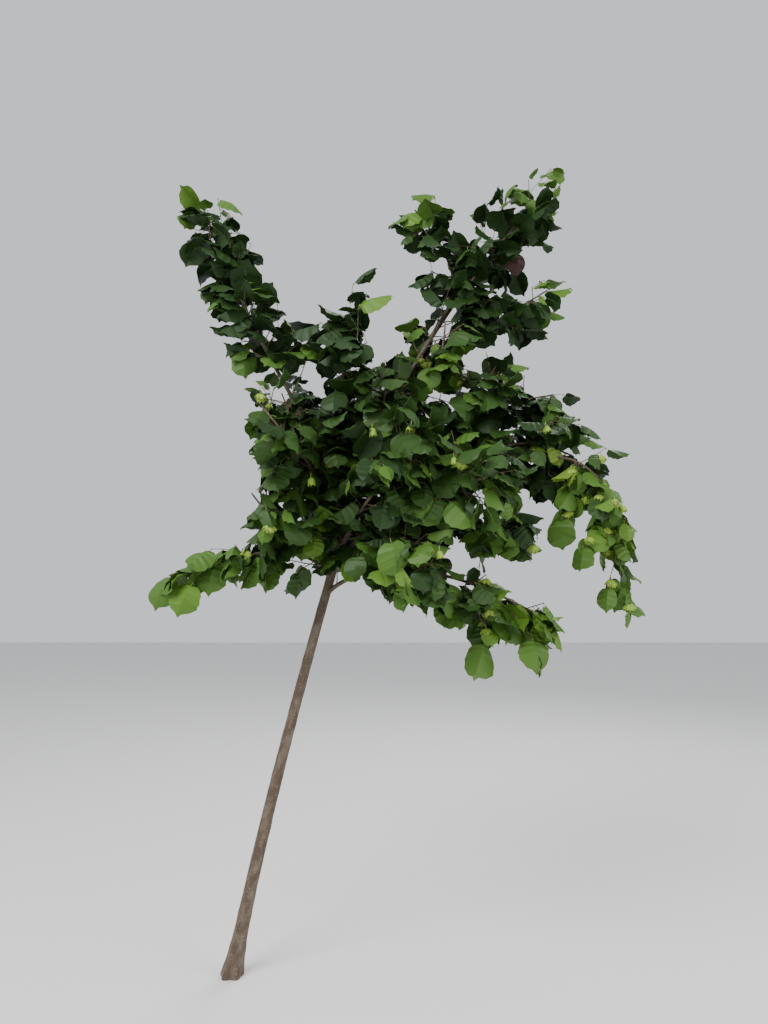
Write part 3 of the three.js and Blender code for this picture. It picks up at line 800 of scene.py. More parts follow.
@functools.cache
def grown_crown(leaf_length, leaf_spacing):
    """The whole plant for one leaf length and spacing, in metres. It is worked out once."""
    crown = Crown(leaf_length, leaf_spacing)
    for place, *pose in FEATURE_LEAVES.values():
        plain = [leaf for leaf in crown.leaves if not leaf.is_feature]
        min(plain, key=lambda leaf: np.linalg.norm(leaf.root - place)).feature(*pose)
    views = [(leaf.middle(), LEAF_VIEW * leaf.length) for leaf in crown.leaves if leaf.is_feature]
    for group in FEATURE_NUTS.values():
        views += [(crown.hang_nuts(*place).middle, NUT_VIEW) for place in group]
    for name, first, last in SHOWN_LIMBS:
        shares = [blend(first, last, i / LIMB_VIEWS) for i in range(LIMB_VIEWS + 1)]
        views += [(crown.limbs[name].point(share), LIMB_VIEW) for share in shares]

    def is_kept(leaf):
        return leaf.is_feature or not any(leaf.hides(*view) for view in views)

    crown.leaves = list(filter(is_kept, crown.leaves))
    for leaf in crown.leaves:
        crown.carry_on(leaf.branch, leaf.along)
    return crown


def crown_for(context):
    leaves = context.scene.hazel_leaves
    return grown_crown(round(leaves.length, SETTING_DIGITS), round(leaves.spacing, SETTING_DIGITS))


NOISE_DETAIL = 3
NOISE_ROUGHNESS = 0.55

# The sockets of a Mix node that are for colours, by their place
MIX_SHARE = 0
MIX_FIRST = 6
MIX_SECOND = 7
MIX_RESULT = 2


class Wire:
    """A node's output, which Python's operators turn into Math nodes."""

    def __init__(self, finish, socket):
        self.finish, self.socket = finish, socket

    def math(self, operation, *values):
        inputs = {i: value for i, value in enumerate(values)}
        return self.finish.node("ShaderNodeMath", {"operation": operation}, inputs)

    def __add__(self, other):
        return self.math("ADD", self, other)

    def __mul__(self, other):
        return self.math("MULTIPLY", self, other)

    def __sub__(self, other):
        return self.math("SUBTRACT", self, other)

    def __rsub__(self, other):
        return self.math("SUBTRACT", other, self)

    __radd__, __rmul__ = __add__, __mul__


class Finish:
    """A material, with one method that adds any node to it."""

    def __init__(self, name, **constants):
        self.material = bpy.data.materials.new(name)
        self.material.use_nodes = True
        self.tree = self.material.node_tree
        self.shader = self.tree.nodes["Principled BSDF"]
        self.feed(self.shader, {name.replace("_", " "): value for name, value in constants.items()})

    def feed(self, node, inputs):
        """Sets or links a node's sockets. A colour gets its alpha."""
        for name, value in inputs.items():
            socket = node.inputs[name]
            if isinstance(value, Wire):
                self.tree.links.new(value.socket, socket)
            else:
                size = len(socket.default_value) if hasattr(socket.default_value, "__len__") else 0
                socket.default_value = (*value, 1) if size == 4 and len(value) == 3 else value

    def node(self, kind, settings, inputs, output=0):
        """Adds a node of a type: its settings first, then the values or links of its sockets."""
        made = self.tree.nodes.new(kind)
        for name, value in settings.items():
            setattr(made, name, value)
        self.feed(made, inputs)
        return Wire(self, made.outputs[output])

    def surface(self, **inputs):
        self.feed(self.shader, {name.replace("_", " "): value for name, value in inputs.items()})
        return self.material

    def mix(self, share, first, second):
        """A colour between two, by a share from 0 to 1."""
        settings = {"data_type": "RGBA", "clamp_factor": True}
        inputs = {MIX_SHARE: share, MIX_FIRST: first, MIX_SECOND: second}
        return self.node("ShaderNodeMix", settings, inputs, MIX_RESULT)

    def stretched(self, vector, scale):
        return self.node("ShaderNodeVectorMath", {"operation": "MULTIPLY"}, {0: vector, 1: scale})

    def noise(self, vector, scale, detail=NOISE_DETAIL):
        inputs = {"Vector": vector, "Scale": scale, "Detail": detail, "Roughness": NOISE_ROUGHNESS}
        return self.node("ShaderNodeTexNoise", {}, inputs)

    def ramp(self, value, low, high):
        """0 at low, 1 at high and even between them."""
        return self.node("ShaderNodeMapRange", {}, {"Value": value, "From Min": low, "From Max": high})


STRAIGHT = "straight"  # the attribute that holds a limb's places before it was bent

# A pattern in the bark: how it is stretched across and along the limb, how fine it is, and from which value
# to which it comes up
Pattern = namedtuple("Pattern", "stretch scale limits")
STREAKS = Pattern((1, 1, 0.12), 420, (0.55, 0.8))
BLOOM = Pattern((1, 1, 0.5), 38, (0.42, 0.68))
LENTICELS = Pattern((0.45, 0.45, 1), 150, (0.2, 0.12))
STREAK_DETAIL = 4
STREAK_SHARE = 0.5
STREAK_HEIGHT = 0.5
STREAK_ROUGHNESS = 0.25
LENTICEL_SHARE = 0.85
LENTICEL_HEIGHT = 0.6
BARK_ROUGHNESS = 0.62
BUMP_STRENGTH = 0.35
BUMP_DEPTH = 0.6 * MM
MOTTLE_SCALE = 90
MOTTLE_LIMITS = (0.35, 0.7)
TWIG_ROUGHNESS = 0.6
PLAIN_GLOSS = 0.2


def bark_finish(name, bark):
    """Smooth brown bark with a grey bloom, fine lengthwise streaks and pale lenticels that lie across."""
    finish = Finish(name)
    straight = finish.node("ShaderNodeAttribute", {"attribute_name": STRAIGHT}, {}, "Vector")
    streaks = finish.noise(finish.stretched(straight, STREAKS.stretch), STREAKS.scale, STREAK_DETAIL)
    bloom = finish.noise(finish.stretched(straight, BLOOM.stretch), BLOOM.scale)
    across = finish.stretched(straight, LENTICELS.stretch)
    cells = {"Vector": across, "Scale": LENTICELS.scale, "Randomness": 1}
    from_cell = finish.node("ShaderNodeTexVoronoi", {}, cells, "Distance")
    lenticels = finish.ramp(from_cell, *LENTICELS.limits)
    # The bark's brown and bloom come in darkened, partly as painted shade
    colour = finish.mix(finish.ramp(bloom, *BLOOM.limits), tuple(bark.colour), tuple(bark.bloom))
    streak_share = finish.ramp(streaks, *STREAKS.limits) * STREAK_SHARE
    colour = finish.mix(streak_share, colour, tuple(bark.streak))
    colour = finish.mix(lenticels * LENTICEL_SHARE, colour, tuple(bark.lenticel))
    height = streaks * STREAK_HEIGHT + lenticels * LENTICEL_HEIGHT
    relief = {"Strength": BUMP_STRENGTH, "Distance": BUMP_DEPTH, "Height": height}
    bump = finish.node("ShaderNodeBump", {}, relief)
    roughness = BARK_ROUGHNESS + streaks * STREAK_ROUGHNESS
    return finish.surface(Base_Color=colour, Roughness=roughness, Normal=bump)


def twig_finish(bark):
    """Young bark, more olive than the limbs', with a soft mottle."""
    finish = Finish("twig_bark")
    place = finish.node("ShaderNodeTexCoord", {}, {}, "Object")
    mottle = finish.noise(place, MOTTLE_SCALE)
    share = finish.ramp(mottle, *MOTTLE_LIMITS)
    colour = finish.mix(share, tuple(bark.twig), tuple(bark.twig_light))
    return finish.surface(Base_Color=colour, Roughness=TWIG_ROUGHNESS)


def plain_finish(name, colour, roughness):
    """One even colour, with little gloss."""
    settings = {"Base_Color": tuple(colour), "Roughness": roughness, "Specular_IOR_Level": PLAIN_GLOSS}
    return Finish(name, **settings).material


def deselect_all():
    if bpy.context.mode != "OBJECT":
        bpy.ops.object.mode_set(mode="OBJECT")
    bpy.ops.object.select_all(action="DESELECT")


def make_active(piece):
    deselect_all()
    piece.select_set(True)
    bpy.context.view_layer.objects.active = piece


def apply_modifier(piece, kind, **settings):
    make_active(piece)
    bpy.ops.object.modifier_add(type=kind)
    modifier = piece.modifiers[-1]
    for name, value in settings.items():
        setattr(modifier, name, value)
    bpy.ops.object.modifier_apply(modifier=modifier.name)


RING_STEP = 16 * MM
FEWEST_RINGS = 4
BEND_STEPS = 40

# The relief of the bark: how its swellings and ridges are stretched along the limb and how fine they are,
# how much more the swellings count, and how near to a limb's middle the relief fades out
SWELLING_STRETCH = 0.4
SWELLING_SCALE = 55
SWELLING_SHARE = 1.6
RIDGE_STRETCH = 0.09
RIDGE_SCALE = 240
RELIEF_FADE = 4 * MM
ON_AXIS = 1e-6


def raise_limb(name, low, high, radius_at, sides):
    """A straight limb up the Z axis from low to high, raised from a circle ring by ring."""
    deselect_all()
    rounding = (2 + math.cos(2 * math.pi / sides)) / 3  # how far subdivision draws a ring in
    before = radius_at(low) / rounding
    circle = {"vertices": sides, "radius": before, "fill_type": "NGON", "location": (0, 0, low)}
    bpy.ops.mesh.primitive_circle_add(**circle)
    limb = bpy.context.object
    limb.name = limb.data.name = name
    bpy.ops.object.transform_apply()
    rings = max(round((high - low) / RING_STEP), FEWEST_RINGS)
    rise = (high - low) / rings
    bpy.ops.object.mode_set(mode="EDIT")
    bpy.ops.mesh.select_all(action="SELECT")
    for i in range(1, rings + 1):
        height = low + i * rise
        now = radius_at(height) / rounding
        bpy.ops.mesh.extrude_region_move(TRANSFORM_OT_translate={"value": (0, 0, rise)})
        grow = now / before
        bpy.ops.transform.resize(value=(grow, grow, 1), center_override=(0, 0, height))
        before = now
    bpy.ops.mesh.select_all(action="SELECT")
    bpy.ops.mesh.normals_make_consistent(inside=False)
    bpy.ops.object.mode_set(mode="OBJECT")
    return limb


def read_places(mesh):
    places = np.empty(len(mesh.vertices) * 3)
    mesh.vertices.foreach_get("co", places)
    return places.reshape(-1, 3)


def give_relief(limb, depth, shape):
    """Moves a straight limb's surface in and out, and keeps its straight places for the bark's pattern."""
    places = read_places(limb.data)
    kept = limb.data.attributes.new(STRAIGHT, "FLOAT_VECTOR", "POINT")
    kept.data.foreach_set("vector", places.ravel())
    for i, (x, y, z) in enumerate(places):
        swellings = noise.noise(Vector((x, y, z * SWELLING_STRETCH)) * SWELLING_SCALE)
        ridges = noise.noise(Vector((x, y, z * RIDGE_STRETCH)) * RIDGE_SCALE)
        grow = shape(z, math.atan2(y, x)) + depth * (SWELLING_SHARE * swellings + ridges)
        off = math.hypot(x, y)
        if off > ON_AXIS:
            places[i, :2] *= 1 + grow / off * min(off / RELIEF_FADE, 1)
    limb.data.vertices.foreach_set("co", places.ravel())
    limb.data.update()


def bend_limb(limb, branches):
    """Bends a straight limb along branches that follow on from each other."""
    curve = bpy.data.curves.new("bend", "CURVE")
    curve.dimensions = "3D"
    curve.resolution_u = BEND_STEPS
    spline = curve.splines.new("BEZIER")
    spline.bezier_points.add(len(branches))
    for point in spline.bezier_points:
        point.handle_left_type = point.handle_right_type = "FREE"
    for i, branch in enumerate(branches):
        first, second = spline.bezier_points[i], spline.bezier_points[i + 1]
        first.co = branch.start
        first.handle_right = blend(branch.start, branch.control, 2 / 3)
        second.handle_left = blend(branch.tip, branch.control, 2 / 3)
        second.co = branch.tip
    spline.bezier_points[0].handle_left = 2 * branches[0].start - branches[0].control
    last = branches[-1]
    spline.bezier_points[-1].handle_right = 2 * last.tip - last.control
    path = bpy.data.objects.new("bend", curve)
    bpy.context.collection.objects.link(path)
    apply_modifier(limb, "CURVE", object=path, deform_axis="POS_Z")
    bpy.data.objects.remove(path)
    bpy.data.curves.remove(curve)


def finish_piece(piece, node_names, slot, *materials):
    """Gives a piece its materials, its body and the nodes that it stands for. The slot is not used."""
    piece.data.materials.clear()
    for material in materials:
        piece.data.materials.append(material)
    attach(piece, "root")
    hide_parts(*node_names)


def smooth(piece, degrees):
    make_active(piece)
    bpy.ops.object.shade_smooth_by_angle(angle=math.radians(degrees))


class Pile:
    """Vertices and faces gathered from many small shapes, which become one mesh."""

    def __init__(self):
        self.places, self.faces, self.slots, self.count = [], [], [], 0

    def add(self, places, faces, slots=None):
        self.places.append(np.asarray(places, float))
        self.faces += [tuple(corner + self.count for corner in face) for face in faces]
        self.slots += slots if slots is not None else [0] * len(faces)
        self.count += len(places)

    def piece(self, name):
        mesh = bpy.data.meshes.new(name)
        mesh.from_pydata(np.vstack(self.places).tolist(), [], self.faces)
        mesh.polygons.foreach_set("material_index", self.slots)
        mesh.update()
        piece = bpy.data.objects.new(name, mesh)
        bpy.context.collection.objects.link(piece)
        return piece


def caps(rows, sides):
    """The faces that close the first and the last of a number of rings."""
    return [tuple(reversed(range(sides))), tuple(range((rows - 1) * sides, rows * sides))]


def side_faces(rows, sides):
    """The faces between rings that follow on from each other."""
    faces = []
    for row in range(rows - 1):
        for i in range(sides):
            a, b = row * sides + i, row * sides + (i + 1) % sides
            faces.append((a, b, b + sides, a + sides))
    return faces


def tube(points, radii, sides, across):
    """A closed tube through points, with a cap at each end."""
    points = np.asarray(points)
    ahead = np.gradient(points, axis=0)
    ahead /= np.linalg.norm(ahead, axis=1, keepdims=True)
    second = np.cross(ahead, across)
    second /= np.linalg.norm(second, axis=1, keepdims=True)
    first = np.cross(second, ahead)
    angles = 2 * math.pi * np.arange(sides) / sides
    cosines, sines = np.cos(angles)[None, :, None], np.sin(angles)[None, :, None]
    ring = first[:, None] * cosines + second[:, None] * sines
    places = (points[:, None] + ring * np.asarray(radii)[:, None, None]).reshape(-1, 3)
    return places, caps(len(points), sides) + side_faces(len(points), sides)


TRUNK_SIDES = 16
TRUNK_CREASE = 50
TRUNK_PAST_FORK = 4 * MM
BOUGH_SIDES = 8
FINE_LEVELS = 2  # how often the trunk and the main boughs are subdivided
PLAIN_LEVELS = 1
MAIN_BOUGH_RADIUS = 9 * MM
SLIM_RELIEF = 0.5  # how deep the relief of the other boughs is
CREASE = 60  # degrees from which an edge stays sharp, for all but the trunk and the leaves
COLLAR_SPREAD = 0.5
COLLAR_LENGTH = 24 * MM
NODE_SPACING = 58 * MM
NODE_SHIFT = NODE_SPACING / 3
NODE_SWELL = 0.05
NODE_LENGTH = 5 * MM
SUNK = 10 * MM  # how far a limb starts inside what carries it


def flare_at(height):
    """How far the root flare stands out at a height along the trunk."""
    return FLARE * math.exp(-max(height - BELOW_CUT * MM, 0) / FLARE_HEIGHT)


def node_swell(height):
    """A slight ring where a leaf once stood."""
    off = (height + NODE_SHIFT) % NODE_SPACING - NODE_SPACING / 2
    return 1 + NODE_SWELL * math.exp(-((off / NODE_LENGTH) ** 2))


class HAZEL_OT_trunk(bpy.types.Operator):
    """Grow the trunk, from its flat cut and root flare to the fork"""

    bl_idname = "hazel.trunk"
    bl_label = "Trunk"

    def execute(self, context):
        bark = context.scene.hazel_bark
        trunk = crown_for(context).limbs["trunk"]

        def radius_at(height):
            along = min(max(height / trunk.length, 0), 1)
            return (trunk.radius(along) + flare_at(height)) * node_swell(height)

        def toes(height, roll):
            return flare_at(height) * FLARE_TOE_DEPTH * math.cos(FLARE_TOES * roll)

        piece = raise_limb("trunk_bark", 0, trunk.length + TRUNK_PAST_FORK, radius_at, TRUNK_SIDES)
        apply_modifier(piece, "SUBSURF", levels=FINE_LEVELS, render_levels=FINE_LEVELS)
        give_relief(piece, bark.relief, toes)
        bend_limb(piece, [trunk])
        make_active(piece)
        bpy.ops.object.mode_set(mode="EDIT")
        bpy.ops.mesh.select_all(action="SELECT")
        cut = {"plane_co": (0, 0, 0), "plane_no": (0, 0, 1), "use_fill": True, "clear_inner": True}
        bpy.ops.mesh.bisect(**cut)
        bpy.ops.object.mode_set(mode="OBJECT")
        smooth(piece, TRUNK_CREASE)
        finish_piece(piece, ["trunk"], "bark", bark_finish("trunk_bark", bark))
        return {"FINISHED"}


class HAZEL_OT_boughs(bpy.types.Operator):
    """Grow every bough, and on from it the stem that carries its leaves"""

    bl_idname = "hazel.boughs"
    bl_label = "Boughs"

    def execute(self, context):
        bark = context.scene.hazel_bark
        crown = crown_for(context)
        finish = bark_finish("bough_bark", bark)
        for mass, (_, bough_name, *_) in zip(crown.masses, MASSES):
            self.grow(crown.limbs[bough_name], mass.stem, bough_name, bark, finish)
        return {"FINISHED"}

    def grow(self, bough, stem, name, bark, finish):
        high = bough.length + stem.length

        def radius_at(height):
            if height < bough.length:
                radius = bough.radius(max(height, 0) / bough.length)
            else:
                along = (height - bough.length) / stem.length
                radius = blend(bough.radii[1], stem.radii[1], min(along, 1))
            collar = 1 + COLLAR_SPREAD * math.exp(-((max(height, 0) / COLLAR_LENGTH) ** 2))
            return radius * collar * node_swell(height)

        is_main = bough.radii[0] >= MAIN_BOUGH_RADIUS
        piece = raise_limb(name + "_bark", -SUNK, high, radius_at, BOUGH_SIDES)
        levels = FINE_LEVELS if is_main else PLAIN_LEVELS
        apply_modifier(piece, "SUBSURF", levels=levels, render_levels=levels)
        give_relief(piece, bark.relief * (1 if is_main else SLIM_RELIEF), lambda height, roll: 0)
        bend_limb(piece, [bough, stem])
        smooth(piece, CREASE)
        finish_piece(piece, [name], "bark", finish)


TWIG_SIDES = 5
TWIG_STEP = 14 * MM
ZIGZAG = 1.3 * MM
ZIGZAG_RISE = 3  # the zigzag is full from a third of the way along a twig
FEWEST_TWIG_STEPS = 4
TWIG_FOOT = 1.35  # how much wider a twig is where it starts
TWIG_END = 0.5  # how much narrower it is where it ends
BUD_LENGTH = 5.5 * MM
BUD_RADIUS = 1.7 * MM
BUD_SIDES = 4
BUD_LEAN = 0.4
BUD_OUT = 0.6  # where a bud starts, as a share of its twig's radius
BUD_RISES = (0, 0.35, 0.7, 1)
BUD_WIDTHS = (0.6, 1, 0.75, 0.12)


def zigzag(branch, steps, spacing):
    """Points along a twig, which turns a little at each leaf."""
    points = branch.points(steps)
    for i in range(1, steps + 1):
        along = i / steps
        wave = math.asin(math.sin(math.pi * along * branch.length / spacing)) / (math.pi / 2)
        points[i] += branch.across * wave * ZIGZAG * min(1, ZIGZAG_RISE * along)
    return points


class HAZEL_OT_twigs(bpy.types.Operator):
    """Grow the shoots and the finer twigs, with a bud in the crook of each leaf"""

    bl_idname = "hazel.twigs"
    bl_label = "Twigs and buds"

    def execute(self, context):
        bark = context.scene.hazel_bark
        crown = crown_for(context)
        pile = Pile()
        for mass in crown.masses:
            for twig in mass.twigs():
                if twig not in crown.ends:
                    continue
                steps = max(round(twig.length / TWIG_STEP), FEWEST_TWIG_STEPS)
                last = math.ceil(steps * crown.ends[twig])
                radii = [twig.radius(i / steps) for i in range(last + 1)]
                radii[0] *= TWIG_FOOT
                radii[-1] *= TWIG_END
                points = zigzag(twig, steps, 2 * crown.leaf_spacing)[: last + 1]
                pile.add(*tube(points, radii, TWIG_SIDES, twig.across))
        for leaf in crown.leaves:
            pile.add(*self.bud(leaf))
        piece = pile.piece("twigs")
        smooth(piece, CREASE)
        finish_piece(piece, crown.mass_names(), "bark", twig_finish(bark))
        return {"FINISHED"}

    def bud(self, leaf):
        """A small pointed bud that leans from the twig over its leaf's stalk."""
        ahead = leaf.branch.direction(leaf.along)
        up = unit(ahead + leaf.forward * BUD_LEAN)
        root = leaf.root + up * leaf.branch.radius(leaf.along) * BUD_OUT
        points = [root + up * BUD_LENGTH * share for share in BUD_RISES]
        radii = [BUD_RADIUS * share for share in BUD_WIDTHS]
        return tube(points, radii, BUD_SIDES, leaf.side)


STALK_LENGTH = 15 * MM
STALK_RADIUS = 1.1 * MM
STALK_SIDES = 3
STALK_WIDTHS = (1, 0.8, 0.62, 0.5, 0.25)
MIDRIB_ROWS = (0, 4, 6, 8)
MIDRIB_BELOW = 0.8  # how far it runs below the blade, in millimetres
UPPER_ROUGHNESS = 0.5
UNDER_ROUGHNESS = 0.65
STALK_ROUGHNESS = 0.55

MOULD_SEED = 77

# The limits between which blades differ: the pleat and the ruffle are shares of the length, the rest angles
MOULD_LIMITS = {
    "arc": (-0.35, 1.25),
    "fold": (0.05, 0.75),
    "curl": (-0.45, 0.6),
    "twist": (-0.6, 0.6),
    "pleat": (0.02, 0.034),
    "ruffle": (0.015, 0.05),
    "phase": (0, 2 * math.pi),
}
ARC_MORE = 0.01  # added to each arc
RUFFLES = 9
OTHER_PHASE = 2  # how far the ruffle of one half is ahead of the other's
TWIST_CENTRE = 0.3
BLADE_RISE = 0.012  # how far the halves bulge above the midrib
MARGIN_PLEAT = 0.5


def leaf_moulds():
    """Blades of unit length, each with its own droop, fold, twist and pleats."""
    draw = seeded_draws(MOULD_SEED)
    moulds = []
    for _ in range(MOULDS):
        shape = {name: between(limits, draw) for name, limits in MOULD_LIMITS.items()}
        shape["arc"] += ARC_MORE
        moulds.append(mould_of(**shape))
    return moulds


def mould_of(arc, fold, curl, twist, pleat, ruffle, phase):
    """The corners of one blade: those of the upper side, then those of the under side's midrib.

    The midrib is an arc. The halves hang from it by the angle fold, and by half of curl more at the margin.
    """

    def placed(across, ahead, lift):
        out = abs(across) / LEAF_HALF_WIDTH
        wave = ruffle * out * math.sin(RUFFLES * ahead + phase + (OTHER_PHASE if across > 0 else 0))
        hang = fold + curl * out / 2
        x = across * math.cos(hang)
        height = lift + wave - abs(across) * math.sin(hang)
        turn = twist * (ahead - TWIST_CENTRE)
        cosine, sine = math.cos(turn), math.sin(turn)
        x, height = x * cosine - height * sine, x * sine + height * cosine
        bend = arc * ahead
        y = math.sin(bend) / arc + height * math.sin(bend)
        z = (math.cos(bend) - 1) / arc + height * math.cos(bend)
        return x, y, z

    corners = []
    for vein in LEAF_VEINS:
        corners.append(placed(0, vein, 0))
    corners.append(placed(0, LEAF_TIP, 0))
    for side in (1, -1):
        for row, ((across, ahead), vein) in enumerate(zip(LEAF_MARGIN, LEAF_VEINS)):
            sign = -1 if row % 2 else 1
            middle = blend(vein, ahead, LEAF_MIDDLE)
            corners.append(placed(side * across * LEAF_MIDDLE, middle, BLADE_RISE + sign * pleat))
            corners.append(placed(side * across, ahead, sign * pleat * MARGIN_PLEAT))
    for vein in LEAF_VEINS[1:]:
        corners.append(placed(0, vein, -BLADE_RISE))
    return np.array(corners)


def blade_faces():
    """The faces that every blade has, the upper side's first, and which material each takes."""
    rows = len(LEAF_VEINS)
    tip = rows
    under_start = rows + 1 + 4 * rows

    def under_midrib(row):
        return 0 if row == 0 else under_start + row - 1

    upper, under = [], []
    for side in (0, 1):
        start = rows + 1 + side * 2 * rows
        for row in range(rows):
            middle, margin = start + 2 * row, start + 2 * row + 1
            if row == rows - 1:
                top = [(row, middle, tip), (middle, margin, tip)]
                below = [(under_midrib(row), tip, margin)]
            else:
                top = [(row, middle, middle + 2, row + 1), (middle, margin, margin + 2, middle + 2)]
                below = [(under_midrib(row), under_midrib(row + 1), margin + 2, margin)]
            if row == 0:
                below.append((row, margin, middle))
            upper += top if side == 0 else [tuple(reversed(face)) for face in top]
            under += below if side == 0 else [tuple(reversed(face)) for face in below]
    return upper + under, [0] * len(upper) + [1] * len(under)


class HAZEL_OT_leaves(bpy.types.Operator):
    """Grow the leaves, one piece for each tint, and their stalks"""

    bl_idname = "hazel.leaves"
    bl_label = "Leaves"

    def execute(self, context):
        settings = context.scene.hazel_leaves
        crown = crown_for(context)
        names = crown.mass_names()
        moulds = leaf_moulds()
        faces, slots = blade_faces()
        piles, stalks = defaultdict(Pile), Pile()
        for leaf in crown.leaves:
            mould = moulds[leaf.mould]
            blade = leaf.length - STALK_LENGTH
            base = leaf.root + leaf.forward * STALK_LENGTH
            axes = np.array([leaf.side, leaf.forward, leaf.normal])
            places = base + blade * mould @ axes
            piles[leaf.tint].add(places, faces, slots)
            stalks.add(*self.stalk(leaf, places))
        for tint, pile in sorted(piles.items()):
            piece = pile.piece("foliage_" + tint)
            smooth(piece, LEAF_CREASE)
            upper = plain_finish("leaf_upper_" + tint, getattr(settings, tint), UPPER_ROUGHNESS)
            below = getattr(settings, tint + "_under")
            under = plain_finish("leaf_under_" + tint, below, UNDER_ROUGHNESS)
            finish_piece(piece, names, "foliage", upper, under)
        piece = stalks.piece("leaf_stalks")
        smooth(piece, CREASE)
        finish = plain_finish("leaf_stalk", settings.stalk, STALK_ROUGHNESS)
        finish_piece(piece, names, "foliage", finish)
        return {"FINISHED"}

    def stalk(self, leaf, places):
        """A stalk from the twig to the blade, which runs on below it as the midrib."""
        midrib = [places[row] - leaf.normal * MIDRIB_BELOW * MM for row in MIDRIB_ROWS]
        points = [leaf.root, *midrib]
        radii = [STALK_RADIUS * share for share in STALK_WIDTHS]
        return tube(points, radii, STALK_SIDES, leaf.side)


NUT_LENGTH = 20 * MM
NUT_WIDTH = 19 * MM
NUT_SIDES = 10
NUT_ROUGHNESS = 0.55
HUSK_LOBES = 7

# Profiles from the stalk on: radius and height, as shares of half a nut's width and of its length
NUT_PROFILE = ((0.3, 0.05), (0.8, 0.2), (1, 0.45), (0.93, 0.7), (0.6, 0.9), (0.12, 1.02))
HUSK_PROFILE = (
    (0.2, -0.12),
    (0.75, -0.02),
    (1.12, 0.3),
    (1.15, 0.62),
    (1.3, 1.0),
    (1.16, 0.98),
    (0.98, 0.5),
)
HUSK_FRILL = (0, 0, 0, 0.01, 0.16, 0.15, 0)  # how far every second corner of each row rises

# How the nuts of a cluster hang from their knot: a single one leans little
CLUSTER_SEED = 100
KNOT_DOWN = 0.45
NUT_STALK_RADIUS = 1.3 * MM
NUT_STALK_SIDES = 4
NUT_LEANS = (0.35, 0.75)
SINGLE_LEAN = 0.15
NUT_SIZES = (0.85, 1.1)
NUT_OFF_KNOT = 2 * MM
NUT_ASIDE = (0.3, 0.9, 0.1)


def revolved(profile, sides, wave):
    """A closed shape round the Z axis, from a profile of radius and height and each row's wave."""
    places = []
    for row, (radius, height) in enumerate(profile):
        for i in range(sides):
            angle = 2 * math.pi * i / sides
            lobe = wave[row] * (1 if i % 2 else -1)
            places.append((radius * math.cos(angle), radius * math.sin(angle), height + lobe))
    return np.array(places), side_faces(len(profile), sides) + caps(len(profile), sides)


def nut_shapes(width, length):
    """A nut, and the frilled husk round it, both standing on the end of their stalk."""

    def sized(profile):
        return [(width / 2 * radius, length * height) for radius, height in profile]

    nut = revolved(sized(NUT_PROFILE), NUT_SIDES, [0] * len(NUT_PROFILE))
    husk = revolved(sized(HUSK_PROFILE), 2 * HUSK_LOBES, [length * rise for rise in HUSK_FRILL])
    return nut, husk


class HAZEL_OT_nuts(bpy.types.Operator):
    """Hang the nut clusters, each nut in its frilled husk"""

    bl_idname = "hazel.nuts"
    bl_label = "Nuts"

    def execute(self, context):
        settings = context.scene.hazel_nuts
        crown = crown_for(context)
        names = crown.mass_names()
        nut, husk = nut_shapes(settings.width, settings.width * NUT_LENGTH / NUT_WIDTH)
        nuts, husks = Pile(), Pile()
        for n, (root, middle, share, known_count) in enumerate(crown.nuts):
            draw = seeded_draws(CLUSTER_SEED + n)
            count = known_count or round(between(NUTS_IN_CLUSTER, draw))
            knot = blend(root, middle, KNOT_DOWN)
            stalk = [root, blend(root, knot, 0.5), knot]
            husks.add(*tube(stalk, [NUT_STALK_RADIUS] * 3, NUT_STALK_SIDES, (1, 0, 0)))
            for i in range(count):
                turn = 2 * math.pi * (i / count + share)
                lean = between(NUT_LEANS, draw) if count > 1 else SINGLE_LEAN
                out = math.sin(lean)
                down = unit(np.array([out * math.cos(turn), out * math.sin(turn), -math.cos(lean)]))
                side = unit(np.cross(down, NUT_ASIDE))
                axes = np.array([side, np.cross(down, side), down]) * between(NUT_SIZES, draw)
                base = knot + down * NUT_OFF_KNOT
                nuts.add(base + nut[0] @ axes, nut[1])
                husks.add(base + husk[0] @ axes, husk[1])
        for pile, name, colour in ((nuts, "nuts", settings.shell), (husks, "nut_husks", settings.husk)):
            piece = pile.piece(name)
            smooth(piece, CREASE)
            finish_piece(piece, names, "foliage", plain_finish(name, colour, NUT_ROUGHNESS))
        return {"FINISHED"}


FLOOR_SIZE = 24
FLOOR_AT = (0, 4, -0.001)
FLOOR_ROUGHNESS = 0.9

# The lights: where each hangs, what it points at and how wide it is
LAMPS = {
    "key": ((-2.2, -3.4, 5.2), (0.45, 0, 1.7), 3),
    "fill": ((4.6, -2.2, 2.6), (0.5, 0, 1.7), 3.5),
    "back": ((2.4, 3.6, 4.8), (0.5, 0, 1.9), 3),
}


